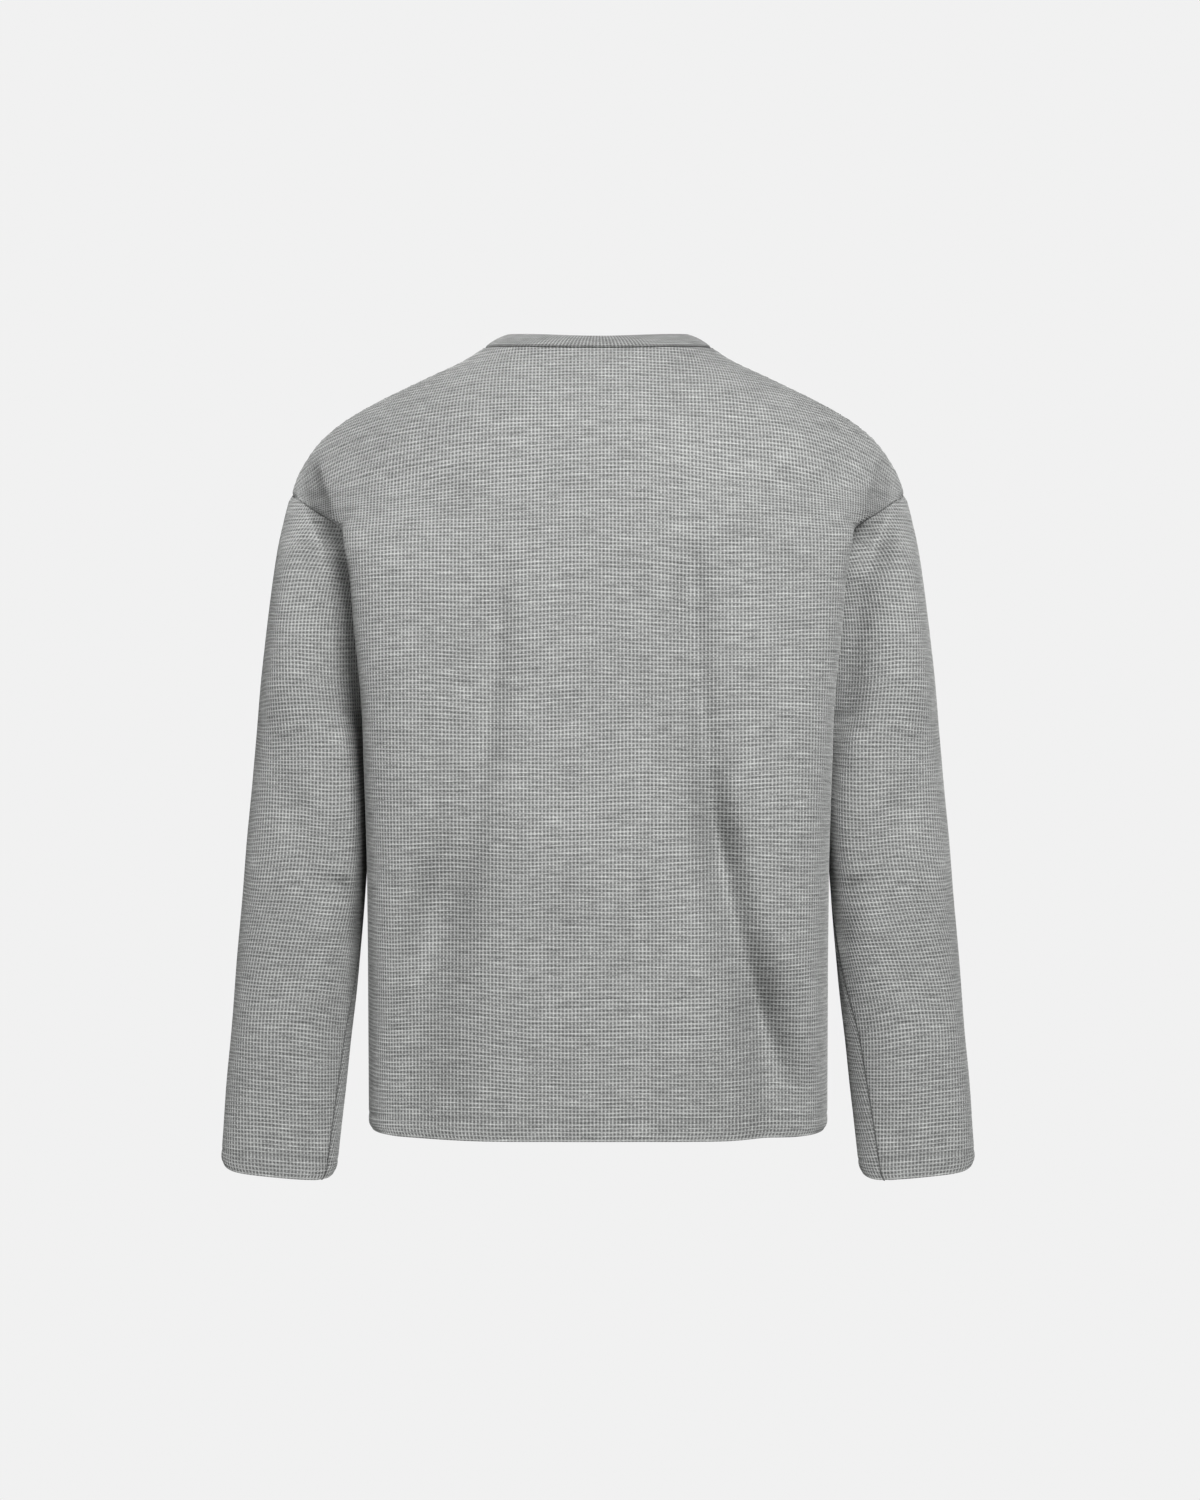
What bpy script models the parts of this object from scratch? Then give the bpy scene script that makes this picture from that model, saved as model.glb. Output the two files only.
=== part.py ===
"""Thermal top: a boxy long-sleeved crew neck of waffle knit, standing open as if it were worn.

The frame has its origin midway between the two shoulder neck points, +Z up, the front towards -Y
and the wearer's left towards +X. Sizes are in millimetres and turn to metres as meshes are made.

Every cut piece is a wall of cloth. Its outer face is worked out from level sections, each a curve
from the middle of the panel to a turning point (the flank) and on to the edge that is sewn.
"""

from collections import namedtuple

import bmesh
import bpy
import numpy as np

MM = 0.001

# Cloth and seams
CLOTH = 2.0
BAND_CLOTH = 2.4
SEAM_GAP = 0.3

# Levels, measured up from the shoulder neck points
HEM = -673.0
UNDERARM = -322.0
SHOULDER_TIP = -126.0
FRONT_NECK = -85.0
BACK_NECK = -5.0

# The torso's depth from its middle plane at the neck, at its fullest, and how fast it fills out
NECK_DEPTH = 60.0
BACK_FULL, BACK_RISE = 131.0, 70.0
FRONT_FULL, FRONT_RISE = 133.0, 120.0
HEM_TUCK, HEM_TUCK_POWER = 11.0, 6

NECK_HALF_WIDTH = 98.0
# The front neckline is a scoop, of these two powers
SCOOP_DOWN, SCOOP_ACROSS = 2.2, 2.1

# The neckband leans in by its run and up by its rise
BAND_RUN_BACK, BAND_RUN_FRONT = 20.0, 14.0
BAND_RISE_BACK, BAND_RISE_FRONT = 11.5, 16.0
BAND_CROWN = 1.2
BAND_CENTRE = (0.0, -8.0)
ARM_CENTRE = (250.0, 0.0)

# How full the outer side of a sleeve is, 1 as on an ellipse
OUTER_FULLNESS = 1.25

# The cuff hangs lower at its inner side, and its two corners are rounded up
CUFF = -711.0
CUFF_TILT = 0.09
TILT_STARTS = -400.0
CUFF_CORNER = 5.0
CORNER_STARTS, CORNER_ENDS = -690.0, -710.0
CORNER_POWER = 8

# How densely the pieces are meshed
HALF_COLUMNS = 18
NECK_ROWS = 8
ARMHOLE_ROWS = 11
BODY_ROWS = 12
SLEEVE_COLUMNS = 11
SLEEVE_ROWS = 16
BAND_ROWS = 3
TURN_WEIGHT = 45.0
CLOSER_TO_TIP = 1.15
CLOSER_TO_UNDERARM = 1.12
CLOSER_AT_ENDS = 0.6

# How much of a fold is left at its ends, and how far folds fade towards a panel's sides and its
# top, and towards a sleeve's outer line and its seam, as shares of the whole
FOLD_LEFT_AT_ENDS = 0.1
SIDE_FADE, TOP_FADE = 0.16, 0.08
OUTER_FADE, SEAM_FADE = 0.3, 0.22

# Two pieces share a direction at a seam where theirs are at least this much alike
LEAST_ALIKE, ALIKE_RANGE = 0.2, 0.4

# Finish
KNIT_GREY = (0.34, 0.34, 0.335)
BAND_GREY = (0.36, 0.36, 0.355)
KNIT_ROUGHNESS = 0.9
SHARP_ANGLE = np.radians(50)

# One half of the torso, level by level. The flank is where the panel turns, the edge is the
# shoulder, armhole or side seam. Angles are of the path there, in degrees: 0 runs outward,
# 90 runs to the middle plane and more than 90 folds back under.
Section = namedtuple(
    "Section",
    "height flank_x flank_y flank_angle edge_x edge_y edge_angle fullness",
    defaults=(1.0,),
)
TORSO = (
    Section(0, 70, 40, 42, 98, 0, 90),
    Section(-10, 84, 46, 42, 113, 0, 90),
    Section(-27, 110, 54, 41, 149, 0, 90),
    Section(-45, 136, 60, 40, 186, 0, 90),
    Section(-62, 160, 64, 39, 216, 0, 90),
    Section(-79, 178, 70, 39, 237, 0, 90),
    Section(-96, 190, 75, 38, 250, 0, 90),
    Section(-113, 199, 80, 38, 259, 0, 90),
    Section(-126, 203, 84, 39, 262.5, 0, 90),
    Section(-134, 204, 86, 41, 252, 35, 56),
    Section(-144, 206, 87, 46, 238, 55, 50, 0.99),
    Section(-153, 210, 86, 60, 224, 64, 84, 1.0),
    Section(-162, 214.5, 85, 84, 213, 61, 122, 1.15),
    Section(-176, 213, 85, 90, 207, 53, 118, 1.35),
    Section(-200, 209, 84, 90, 202, 43, 112, 1.48),
    Section(-240, 206, 80, 90, 197, 33, 107, 1.54),
    Section(-280, 202, 73, 90, 193, 24, 101, 1.64),
    Section(-308, 199.8, 66, 90, 190.8, 14, 96, 1.68),
    Section(-322, 199.2, 62, 90, 190, 0, 90, 1.7),
    Section(-360, 198.4, 50, 90, 191, 0, 90, 1.72),
    Section(-400, 197.4, 37, 90, 193.3, 0, 90, 1.72),
    Section(-455, 196.6, 22, 90, 195.8, 0, 90, 1.72),
    Section(-540, 196.3, 14, 90, 196.1, 0, 90, 1.66),
    Section(-673, 196.2, 12, 90, 196, 0, 90, 1.58),
)

# One half of the sleeve, level by level: its outer line, the point of its greatest depth with
# the angle of the path there, and the angle at which it meets the armhole or the underarm seam.
# Angles are turned from the outward direction: 90 leaves the middle plane, 180 runs inward. The
# fullness is of the way from the greatest depth inward.
Tube = namedtuple(
    "Tube", "height outer_x top_x top_y top_angle inner_x end_angle fullness", defaults=(1.0,)
)
SLEEVE = (
    Tube(-126, 262.5, 262.5, 0, 130, 262.5, 130),
    Tube(-134, 266, 261, 21, 118, 252, 124),
    Tube(-144, 268.5, 258, 36, 124, 238, 138),
    Tube(-153, 270.5, 254, 47, 130, 224, 152),
    Tube(-162, 272.5, 253, 53, 138, 213, 168),
    Tube(-176, 275, 254, 60, 156, 207, 196),
    Tube(-200, 278.6, 255, 66, 172, 202, 220),
    Tube(-240, 284, 256, 68, 178, 197, 228, 1.0),
    Tube(-280, 288.5, 250, 67, 180, 193, 236, 1.03),
    Tube(-308, 291.3, 241, 65, 180, 190.8, 245, 1.13),
    Tube(-322, 292.5, 235, 64, 180, 190, 250, 1.22),
    Tube(-345, 294.5, 225, 63, 180, 193.2, 259, 1.33),
    Tube(-400, 299.5, 217, 60, 180, 196.4, 268, 1.4),
    Tube(-457, 304.4, 224, 57, 180, 199.6, 270, 1.35),
    Tube(-526, 310.5, 248, 51, 180, 205.4, 270, 1.2),
    Tube(-595, 315.6, 264, 44, 180, 212.6, 270),
    Tube(-664, 321.6, 271, 36, 180, 220.4, 270),
    Tube(-711, 324.5, 274.5, 31, 180, 224.8, 270),
)

# Soft folds. Each runs down a smooth line through three places given as across and height, and
# its depth sinks the cloth, or lifts it where the depth is negative. A lean of more than 1 makes
# its +X side the wider one. It fades over a share of its length at either end.
Fold = namedtuple(
    "Fold",
    "x_top z_top x_mid z_mid x_low z_low wide_top wide_low depth lean ends",
    defaults=(1.0, 0.22),
)
BACK_FOLDS = (
    Fold(82, -170, 97, -345, 142, -540, 14, 32, 14.0, 1.4, 0.24),
    Fold(124, -400, 146, -540, 166, -740, 24, 38, 32.0, 0.85, 0.36),
    Fold(-79, -150, -84, -300, -112, -480, 12, 15, 12.0, 1.1),
    Fold(-92, -350, -118, -507, -162, -650, 16, 22, 29.0, 1.15, 0.32),
    Fold(-130, -500, -142, -600, -148, -760, 20, 29, 27.0, 0.85, 0.3),
    Fold(-70, -240, -78, -430, -92, -665, 12, 15, -4.0),
    Fold(42, -450, 42, -570, 46, -700, 13, 17, 4.5),
    Fold(-36, -440, -37, -570, -40, -700, 13, 17, 4.5),
    Fold(222, -162, 231, -131, 250, -96, 8, 8, 3.0),
    Fold(-221, -162, -229, -131, -247, -96, 8, 8, 3.0),
)
FRONT_FOLDS = (
    Fold(-72, -190, -98, -380, -160, -620, 22, 34, 6.0),
    Fold(84, -170, 96, -350, 150, -600, 20, 28, 7.0),
    Fold(10, -430, 6, -560, 14, -690, 16, 22, 3.0),
    Fold(60, -480, 66, -590, 74, -690, 11, 15, -2.5),
    Fold(-34, -500, -40, -600, -46, -690, 12, 16, -2.0),
)
# Folds of the sleeves' back and front, with their places along the sleeve's own width
SLEEVE_BACK_FOLDS = (
    Fold(228, -185, 219, -250, 208, -330, 13, 12, 6.0),
    Fold(222, -450, 211, -484, 203, -520, 12, 12, 8.0),
    Fold(282, -300, 262, -400, 222, -500, 12, 14, 2.6),
    Fold(228, -500, 262, -545, 300, -600, 13, 13, 2.2),
)
SLEEVE_FRONT_FOLDS = (
    Fold(246, -230, 234, -340, 216, -440, 13, 15, 3.5),
    Fold(214, -470, 248, -500, 296, -520, 12, 12, 4.5),
    Fold(222, -530, 256, -560, 300, -585, 11, 11, 2.6),
)


def smooth(t):
    """Ease a value from 0 to 1."""
    t = np.clip(t, 0.0, 1.0)
    return t * t * (3.0 - 2.0 * t)


def column(rows, name, height):
    """Read one column of a table at a height, by a curve that doesn't overshoot."""
    z = np.array([row.height for row in rows])[::-1]
    v = np.array([getattr(row, name) for row in rows])[::-1]
    step = np.diff(z)
    rate = np.diff(v) / step
    slope = np.zeros(len(z))
    together = rate[:-1] * rate[1:] > 0
    mean = 2 * rate[:-1] * rate[1:] / np.where(together, rate[:-1] + rate[1:], 1.0)
    slope[1:-1] = np.where(together, mean, 0.0)
    slope[0], slope[-1] = rate[0], rate[-1]
    i = int(np.clip(np.searchsorted(z, height) - 1, 0, len(step) - 1))
    h = step[i]
    t = np.clip((height - z[i]) / h, 0.0, 1.0)
    rise = (1 + 2 * t) * (1 - t) ** 2 * v[i] + t * t * (3 - 2 * t) * v[i + 1]
    return rise + h * (t * (1 - t) ** 2 * slope[i] - t * t * (1 - t) * slope[i + 1])


def arc(start, start_angle, end, end_angle, fullness=1.0, count=60):
    """Sample a smooth curve between two points with given directions, in degrees.

    Its handles reach towards the place where the two directions cross, as an ellipse's do.
    """
    a, b = np.array(start, float), np.array(end, float)
    leave = np.array([np.cos(np.radians(start_angle)), np.sin(np.radians(start_angle))])
    arrive = np.array([np.cos(np.radians(end_angle)), np.sin(np.radians(end_angle))])
    turn = np.radians(abs(end_angle - start_angle))
    chord = np.linalg.norm(b - a)
    pulls = np.full(2, chord / 3)
    crossing = leave[0] * arrive[1] - leave[1] * arrive[0]
    if abs(crossing) > 0.02:
        gap = b - a
        far_a = gap[0] * arrive[1] - gap[1] * arrive[0]
        far_b = leave[0] * gap[1] - leave[1] * gap[0]
        part = 4 / 3 * np.tan(turn / 4) / np.tan(turn / 2)
        reach = part * np.array([far_a, far_b]) / crossing
        pulls = np.where(reach > 0, np.minimum(reach, chord), pulls)
    from_a, to_b = a + fullness * pulls[0] * leave, b - fullness * pulls[1] * arrive
    t = np.linspace(0, 1, count)[:, None]
    return (1 - t) ** 3 * a + 3 * t * (1 - t) ** 2 * from_a + 3 * t * t * (1 - t) * to_b + t**3 * b


def spaced(curve, fractions):
    """Read a sampled curve at fractions of its length, where turning counts as length too."""
    step = np.diff(curve, axis=0)
    length = np.linalg.norm(step, axis=1)
    heading = np.unwrap(np.arctan2(step[:, 1], step[:, 0]))
    turning = np.abs(np.gradient(heading))
    along = np.concatenate([[0], np.cumsum(length + TURN_WEIGHT * turning)])
    at = np.asarray(fractions) * along[-1]
    return np.stack([np.interp(at, along, curve[:, k]) for k in range(2)], axis=-1)


def depth_at(height, back):
    """The depth of the torso's middle line at a height."""
    full, rise = (BACK_FULL, BACK_RISE) if back else (FRONT_FULL, FRONT_RISE)
    filled = full - (full - NECK_DEPTH) * np.exp(height / rise)
    return filled - HEM_TUCK * (height / HEM) ** HEM_TUCK_POWER


def torso_section(height, back):
    """Half a section of a panel, from its middle to its sewn edge, as positive x and depth."""
    at = {name: column(TORSO, name, height) for name in Section._fields[1:]}
    flank = (at["flank_x"], at["flank_y"])
    middle = (0.0, depth_at(height, back))
    main = arc(middle, 0, flank, -at["flank_angle"], at["fullness"])
    turn = arc(flank, -at["flank_angle"], (at["edge_x"], at["edge_y"]), -at["edge_angle"])
    return np.concatenate([main, turn[1:]])


def fold_depth(folds, x, z):
    """How far the folds sink the cloth at a place."""
    total = np.zeros(np.broadcast(x, z).shape)
    for fold in folds:
        places = sorted(
            [(fold.z_top, fold.x_top), (fold.z_mid, fold.x_mid), (fold.z_low, fold.x_low)]
        )
        (z0, x0), (z1, x1), (z2, x2) = places
        line = (
            x0 * (z - z1) * (z - z2) / ((z0 - z1) * (z0 - z2))
            + x1 * (z - z0) * (z - z2) / ((z1 - z0) * (z1 - z2))
            + x2 * (z - z0) * (z - z1) / ((z2 - z0) * (z2 - z1))
        )
        t = (z - z2) / (z0 - z2)
        wide = fold.wide_top + (fold.wide_low - fold.wide_top) * np.clip(t, 0, 1)
        wide = wide * np.where(x > line, fold.lean, 1 / fold.lean)
        low_end = smooth(t / fold.ends + FOLD_LEFT_AT_ENDS)
        ends = low_end * smooth((1 - t) / fold.ends + FOLD_LEFT_AT_ENDS)
        total = total + fold.depth * ends * np.exp(-(((x - line) / wide) ** 2))
    return total


def neck_half_width(height):
    """How far the front neck seam is from the middle at a height."""
    return NECK_HALF_WIDTH * (1 - (height / FRONT_NECK) ** SCOOP_DOWN) ** (1 / SCOOP_ACROSS)


def neck_height(fraction):
    """The height at which a column of the front panel meets the neck seam."""
    low, high = FRONT_NECK, 0.0
    for _ in range(30):
        middle = (low + high) / 2
        across = spaced(torso_section(middle, False), [fraction])[0][0]
        if across > neck_half_width(middle):
            low = middle
        else:
            high = middle
    return high


def panel_levels():
    """The levels of the rows, from the hem to the neck point."""
    side = np.linspace(HEM, UNDERARM, BODY_ROWS + 1)
    even = np.linspace(0, 1, ARMHOLE_ROWS + 1)
    round_ends = (1 - np.cos(np.pi * even)) / 2
    up = CLOSER_AT_ENDS * round_ends + (1 - CLOSER_AT_ENDS) * even
    armhole = UNDERARM + (SHOULDER_TIP - UNDERARM) * up
    shoulder = SHOULDER_TIP * (1 - np.linspace(0, 1, NECK_ROWS + 1)) ** CLOSER_TO_TIP
    return np.concatenate([side, armhole[1:], shoulder[1:]])


def half_panel(back):
    """Grid of a half panel's outer face: rows up, columns from the middle to the edge."""
    fractions = np.linspace(0, 1, HALF_COLUMNS + 1)
    if back:
        across = spaced(torso_section(0, True), fractions)[:, 0]
        tops = BACK_NECK * (1 - (across / NECK_HALF_WIDTH) ** 2)
    else:
        tops = np.array([neck_height(fraction) for fraction in fractions])
    rows = []
    for level in panel_levels():
        share_up = max(0.0, 1 - level / SHOULDER_TIP)
        heights = level + tops * share_up if level > SHOULDER_TIP else np.full(len(tops), level)
        row = [spaced(torso_section(z, back), [f])[0] for z, f in zip(heights, fractions)]
        rows.append(np.column_stack([row, heights]))
    return np.array(rows)


def panel(back):
    """Grid of a whole panel's outer face with its folds, its columns running towards +X."""
    half = half_panel(back)
    grid = np.concatenate([mirrored(half[:, :0:-1]), half], axis=1)
    across = np.linspace(-1, 1, grid.shape[1])[None, :]
    rows = np.linspace(0, 1, grid.shape[0])[:, None]
    inside = smooth((1 - np.abs(across)) / SIDE_FADE) * smooth((1 - rows) / TOP_FADE)
    sunk = fold_depth(BACK_FOLDS if back else FRONT_FOLDS, grid[..., 0], grid[..., 2])
    grid[..., 1] -= sunk * inside
    grid[..., 1] *= 1 if back else -1
    return grid


def sleeve_section(height):
    """Half a section of the sleeve, from its outer line to the armhole or underarm seam."""
    at = {name: column(SLEEVE, name, height) for name in Tube._fields[1:]}
    outer, top = (at["outer_x"], 0.0), (at["top_x"], at["top_y"])
    inner = (at["inner_x"], 0.0)
    if height > UNDERARM:
        inner = (column(TORSO, "edge_x", height), column(TORSO, "edge_y", height))
    over = arc(outer, 90, top, at["top_angle"], OUTER_FULLNESS)
    under = arc(top, at["top_angle"], inner, at["end_angle"], at["fullness"])
    return np.concatenate([over, under[1:]])


def sleeve():
    """Grid of the left sleeve: rows down from the shoulder tip, columns round from the front."""
    armhole = panel_levels()[BODY_ROWS : BODY_ROWS + ARMHOLE_ROWS + 1][::-1]
    down = np.linspace(0, 1, SLEEVE_ROWS + 1)[1:] ** CLOSER_TO_UNDERARM
    arm = UNDERARM + (CUFF - UNDERARM) * down
    fractions = np.linspace(0, 1, SLEEVE_COLUMNS + 1)
    free = smooth((1 - fractions) / SEAM_FADE) * smooth(fractions / OUTER_FADE)
    rows = []
    for level in np.concatenate([armhole, arm]):
        half = spaced(sleeve_section(level), fractions)
        back_sunk = fold_depth(SLEEVE_BACK_FOLDS, half[:, 0], level)
        front_sunk = fold_depth(SLEEVE_FRONT_FOLDS, half[:, 0], level)
        front = np.column_stack([half[:, 0], -(half[:, 1] - front_sunk * free)])
        back = np.column_stack([half[:, 0], half[:, 1] - back_sunk * free])
        ring = np.concatenate([front[::-1], back[1:]])
        middle = (ring[:, 0].max() + ring[:, 0].min()) / 2
        side = (ring[:, 0] - middle) / max(np.ptp(ring[:, 0]) / 2, 1e-9)
        low = smooth((CORNER_STARTS - level) / (CORNER_STARTS - CORNER_ENDS))
        lift = CUFF_CORNER * np.abs(side) ** CORNER_POWER * low
        tilt = CUFF_TILT * smooth((TILT_STARTS - level) / (TILT_STARTS - CUFF))
        rows.append(np.column_stack([ring, level + tilt * (ring[:, 0] - middle) + lift]))
    return np.array(rows)


def outward(grid, closed_from, centre):
    """Outward directions at a grid's points. Rows from closed_from on are rings."""
    across = np.gradient(grid, axis=1)
    rings = slice(closed_from, None)
    across[rings, 0] = across[rings, -1] = (grid[rings, 1] - grid[rings, -2]) / 2
    normal = np.cross(across, np.gradient(grid, axis=0))
    length = np.linalg.norm(normal, axis=-1, keepdims=True)
    normal = normal / np.where(length > 1e-9, length, 1.0)
    return normal * np.sign(np.sum(normal * (grid - centre)))


def drawn_back(edge, inner, way):
    """The points of an edge, drawn back along the cloth, square to the seam, by half the gap."""
    away = np.cross(way, np.gradient(edge, axis=0))
    away *= np.sign(np.sum(away * (inner - edge), axis=-1, keepdims=True))
    return edge + away / np.linalg.norm(away, axis=-1, keepdims=True) * SEAM_GAP / 2


def share(first, second, valleys=True):
    """Give two edges one direction, but for where they meet in a valley."""
    alike = np.sum(first * second, axis=-1, keepdims=True)
    mean = first + second
    mean = mean / np.maximum(np.linalg.norm(mean, axis=-1, keepdims=True), 1e-9)
    weight = smooth((alike - LEAST_ALIKE) / ALIKE_RANGE) if valleys else 1.0
    for own in (first, second):
        own[...] = own * (1 - weight) + mean * weight
        own /= np.linalg.norm(own, axis=-1, keepdims=True)


def wall(name, colour, outer, normals, thickness, closed_from):
    """Make a piece of cloth: an outer face, an inner face behind it and rims between them.

    Rows from closed_from on are rings, whose last column is their first one. A first row
    whose points are all one place is a pole.
    """
    last_row, last_column = outer.shape[0] - 1, outer.shape[1] - 1
    places, order, faces = [], {}, []
    pole = np.ptp(outer[0], axis=0).max() < 1e-6

    def index(layer, r, c):
        c = 0 if (pole and r == 0) or (r >= closed_from and c == last_column) else c
        if (layer, r, c) not in order:
            order[layer, r, c] = len(places)
            places.append((outer[r, c] - normals[r, c] * thickness * layer) * MM)
        return order[layer, r, c]

    def add(corners):
        ring = list(dict.fromkeys(index(*corner) for corner in corners))
        if len(ring) > 2:
            faces.append(ring)

    for r in range(last_row):
        for c in range(last_column):
            square = ((r, c), (r, c + 1), (r + 1, c + 1), (r + 1, c))
            add([(0, *corner) for corner in square])
            add([(1, *corner) for corner in square[::-1]])
    # Two pieces that meet cut the faces of their rims along the same diagonals
    for r in {0, last_row} - ({0} if pole else set()):
        for c in range(last_column):
            low, high = sorted((c, c + 1), key=lambda k: outer[r, k, 0])
            add([(0, r, low), (1, r, low), (1, r, high)])
            add([(0, r, low), (1, r, high), (0, r, high)])
    for r in range(min(closed_from, last_row)):
        for c in (0, last_column):
            low, high = sorted((r, r + 1), key=lambda k: outer[k, c, 2])
            add([(0, low, c), (1, low, c), (1, high, c)])
            add([(0, low, c), (1, high, c), (0, high, c)])
    return make_object(name, colour, places, faces)


def make_object(name, colour, places, faces):
    """Turn points and faces into a smooth-shaded object with its own material."""
    mesh = bpy.data.meshes.new(name)
    mesh.from_pydata([tuple(place) for place in places], [], faces)
    form = bmesh.new()
    form.from_mesh(mesh)
    bmesh.ops.recalc_face_normals(form, faces=form.faces)
    form.to_mesh(mesh)
    form.free()
    mesh.shade_smooth()
    mesh.set_sharp_from_angle(angle=SHARP_ANGLE)
    material = bpy.data.materials.new(name)
    material.use_nodes = True
    shader = material.node_tree.nodes["Principled BSDF"]
    shader.inputs["Base Color"].default_value = (*colour, 1.0)
    shader.inputs["Roughness"].default_value = KNIT_ROUGHNESS
    shader.inputs["Metallic"].default_value = 0.0
    mesh.materials.append(material)
    return bpy.data.objects.new(name, mesh)


def neckband(back, front):
    """Grid of the band's outer face: rows up from the neck seam, columns once round."""
    seam = np.concatenate([back[-1], front[-1, -2::-1]])
    inward = np.array(BAND_CENTRE) - seam[:, :2]
    inward /= np.linalg.norm(inward, axis=1, keepdims=True)
    front_share = smooth(seam[:, 2] / FRONT_NECK)
    rise = BAND_RISE_BACK + (BAND_RISE_FRONT - BAND_RISE_BACK) * front_share
    run = BAND_RUN_BACK + (BAND_RUN_FRONT - BAND_RUN_BACK) * front_share
    rows = []
    for t in np.linspace(0, 1, BAND_ROWS + 1):
        crown = BAND_CROWN * np.sin(np.pi * t)
        flat = seam[:, :2] + inward * (run * t - crown / 2)[:, None]
        rows.append(np.column_stack([flat, seam[:, 2] + rise * t + crown]))
    return np.array(rows)


def mirrored(grid):
    """The same grid on the other side of the body."""
    return grid * np.array([-1.0, 1.0, 1.0])


def build():
    """Work out the outer faces, let them share directions at their seams and make the walls."""
    back, front, arm = panel(True), panel(False), sleeve()
    band = neckband(back, front)
    never = max(len(back), len(arm))
    back_way = outward(back, never, np.array([0.0, 0.0, HEM / 2]))
    front_way = outward(front, never, np.array([0.0, 0.0, HEM / 2]))
    arm_way = outward(arm, ARMHOLE_ROWS, np.array([*ARM_CENTRE, UNDERARM]))
    band_way = outward(band, 0, np.array([*BAND_CENTRE, FRONT_NECK]))

    # The side seams and the shoulder seams
    for seam in (slice(BODY_ROWS + 1), slice(BODY_ROWS + ARMHOLE_ROWS, None)):
        for side in (0, -1):
            share(back_way[seam, side], front_way[seam, side])
    # The armhole rows of the panels, and the same rows of the sleeve turned upside down
    rows = slice(BODY_ROWS, BODY_ROWS + ARMHOLE_ROWS + 1)
    open_rows = slice(ARMHOLE_ROWS, None, -1)
    arm_way[0] = back_way[BODY_ROWS + ARMHOLE_ROWS, -1]
    share(back_way[rows, -1], arm_way[open_rows, -1])
    share(front_way[rows, -1], arm_way[open_rows, 0])
    back_way[rows, 0] = mirrored(back_way[rows, -1])
    front_way[rows, 0] = mirrored(front_way[rows, -1])
    count = back.shape[1]
    share(back_way[-1], band_way[0, :count], valleys=False)
    share(front_way[-1, -2:0:-1], band_way[0, count:-1], valleys=False)
    front_way[-1, 0], front_way[-1, -1] = back_way[-1, 0], back_way[-1, -1]
    band_way[0, -1] = band_way[0, 0]

    for side, inner in ((0, 1), (-1, -2)):
        ends = slice(0, ARMHOLE_ROWS + 1)
        drawn = drawn_back(arm[ends, side], arm[ends, inner], arm_way[ends, side])
        arm[1:ARMHOLE_ROWS, side] = drawn[1:-1]
        for grid, way in ((back, back_way), (front, front_way)):
            grid[:, side] = drawn_back(grid[:, side], grid[:, inner], way[:, side])
    arm[0, :, 0] += SEAM_GAP / 2
    arm[ARMHOLE_ROWS, [0, -1], 0] += SEAM_GAP / 2
    band[0] = drawn_back(band[0], band[1], band_way[0])
    for grid, way in ((back, back_way), (front, front_way)):
        grid[-1] = drawn_back(grid[-1], grid[-2], way[-1])
    band[0, -1] = band[0, 0]
    return (
        wall("back", KNIT_GREY, back, back_way, CLOTH, never),
        wall("front", KNIT_GREY, front, front_way, CLOTH, never),
        wall("sleeve_left", KNIT_GREY, arm, arm_way, CLOTH, ARMHOLE_ROWS),
        wall("sleeve_right", KNIT_GREY, mirrored(arm), mirrored(arm_way), CLOTH, ARMHOLE_ROWS),
        wall("neckband", BAND_GREY, band, band_way, BAND_CLOTH, 0),
    )


for old in list(bpy.data.objects):
    bpy.data.objects.remove(old)
top = bpy.data.collections.new("thermal_top")
bpy.context.scene.collection.children.link(top)
for piece in build():
    top.objects.link(piece)
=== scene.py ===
"""Thermal top of grey marl waffle knit, filled out as if it were worn.

Every cut piece is one layer of knit. It is laid out course by course and wale by wale on the form
that its frame node has, its cells are real pits, and its hem or cuff is turned up and stitched.
Lengths are in millimetres up to the point where a mesh is made, and a piece's flat coordinates
run across its wales and up its courses, as on the cutting table.
"""

from __future__ import annotations

import logging
from abc import ABC, abstractmethod
from collections.abc import Mapping, Sequence
from dataclasses import dataclass, field
from enum import Enum
from functools import partialmethod
from typing import NamedTuple, TypeVar

import bpy
import numpy as np
from bpy.types import Material, Mesh, Node, NodeSocket, Object, Scene, World
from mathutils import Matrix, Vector, noise
from mathutils.kdtree import KDTree
from numpy.typing import NDArray

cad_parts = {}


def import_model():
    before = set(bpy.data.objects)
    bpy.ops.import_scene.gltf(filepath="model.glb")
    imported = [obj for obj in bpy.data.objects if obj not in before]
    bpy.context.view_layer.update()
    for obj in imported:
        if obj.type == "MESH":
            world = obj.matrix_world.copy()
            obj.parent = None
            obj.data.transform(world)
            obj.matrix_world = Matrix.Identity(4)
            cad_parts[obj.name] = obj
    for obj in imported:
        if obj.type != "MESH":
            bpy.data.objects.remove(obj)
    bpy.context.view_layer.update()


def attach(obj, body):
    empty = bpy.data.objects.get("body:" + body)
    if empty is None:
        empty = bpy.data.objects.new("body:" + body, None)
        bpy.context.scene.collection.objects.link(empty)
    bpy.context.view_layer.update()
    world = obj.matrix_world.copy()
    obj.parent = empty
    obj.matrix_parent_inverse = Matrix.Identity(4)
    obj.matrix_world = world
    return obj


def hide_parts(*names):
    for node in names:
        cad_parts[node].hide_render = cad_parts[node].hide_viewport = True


Array = NDArray[np.float64]
Colour = tuple[float, float, float]
Place = tuple[float, float, float]
Inputs = Mapping[str | int, object]

MM = 0.001
# What a length is divided by instead of zero
TINY = 1e-9
UP = np.array([0.0, 0.0, 1.0])
MIRROR_X = np.array([-1.0, 1.0, 1.0])
MIRROR_Y = np.array([1.0, -1.0, 1.0])
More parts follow.
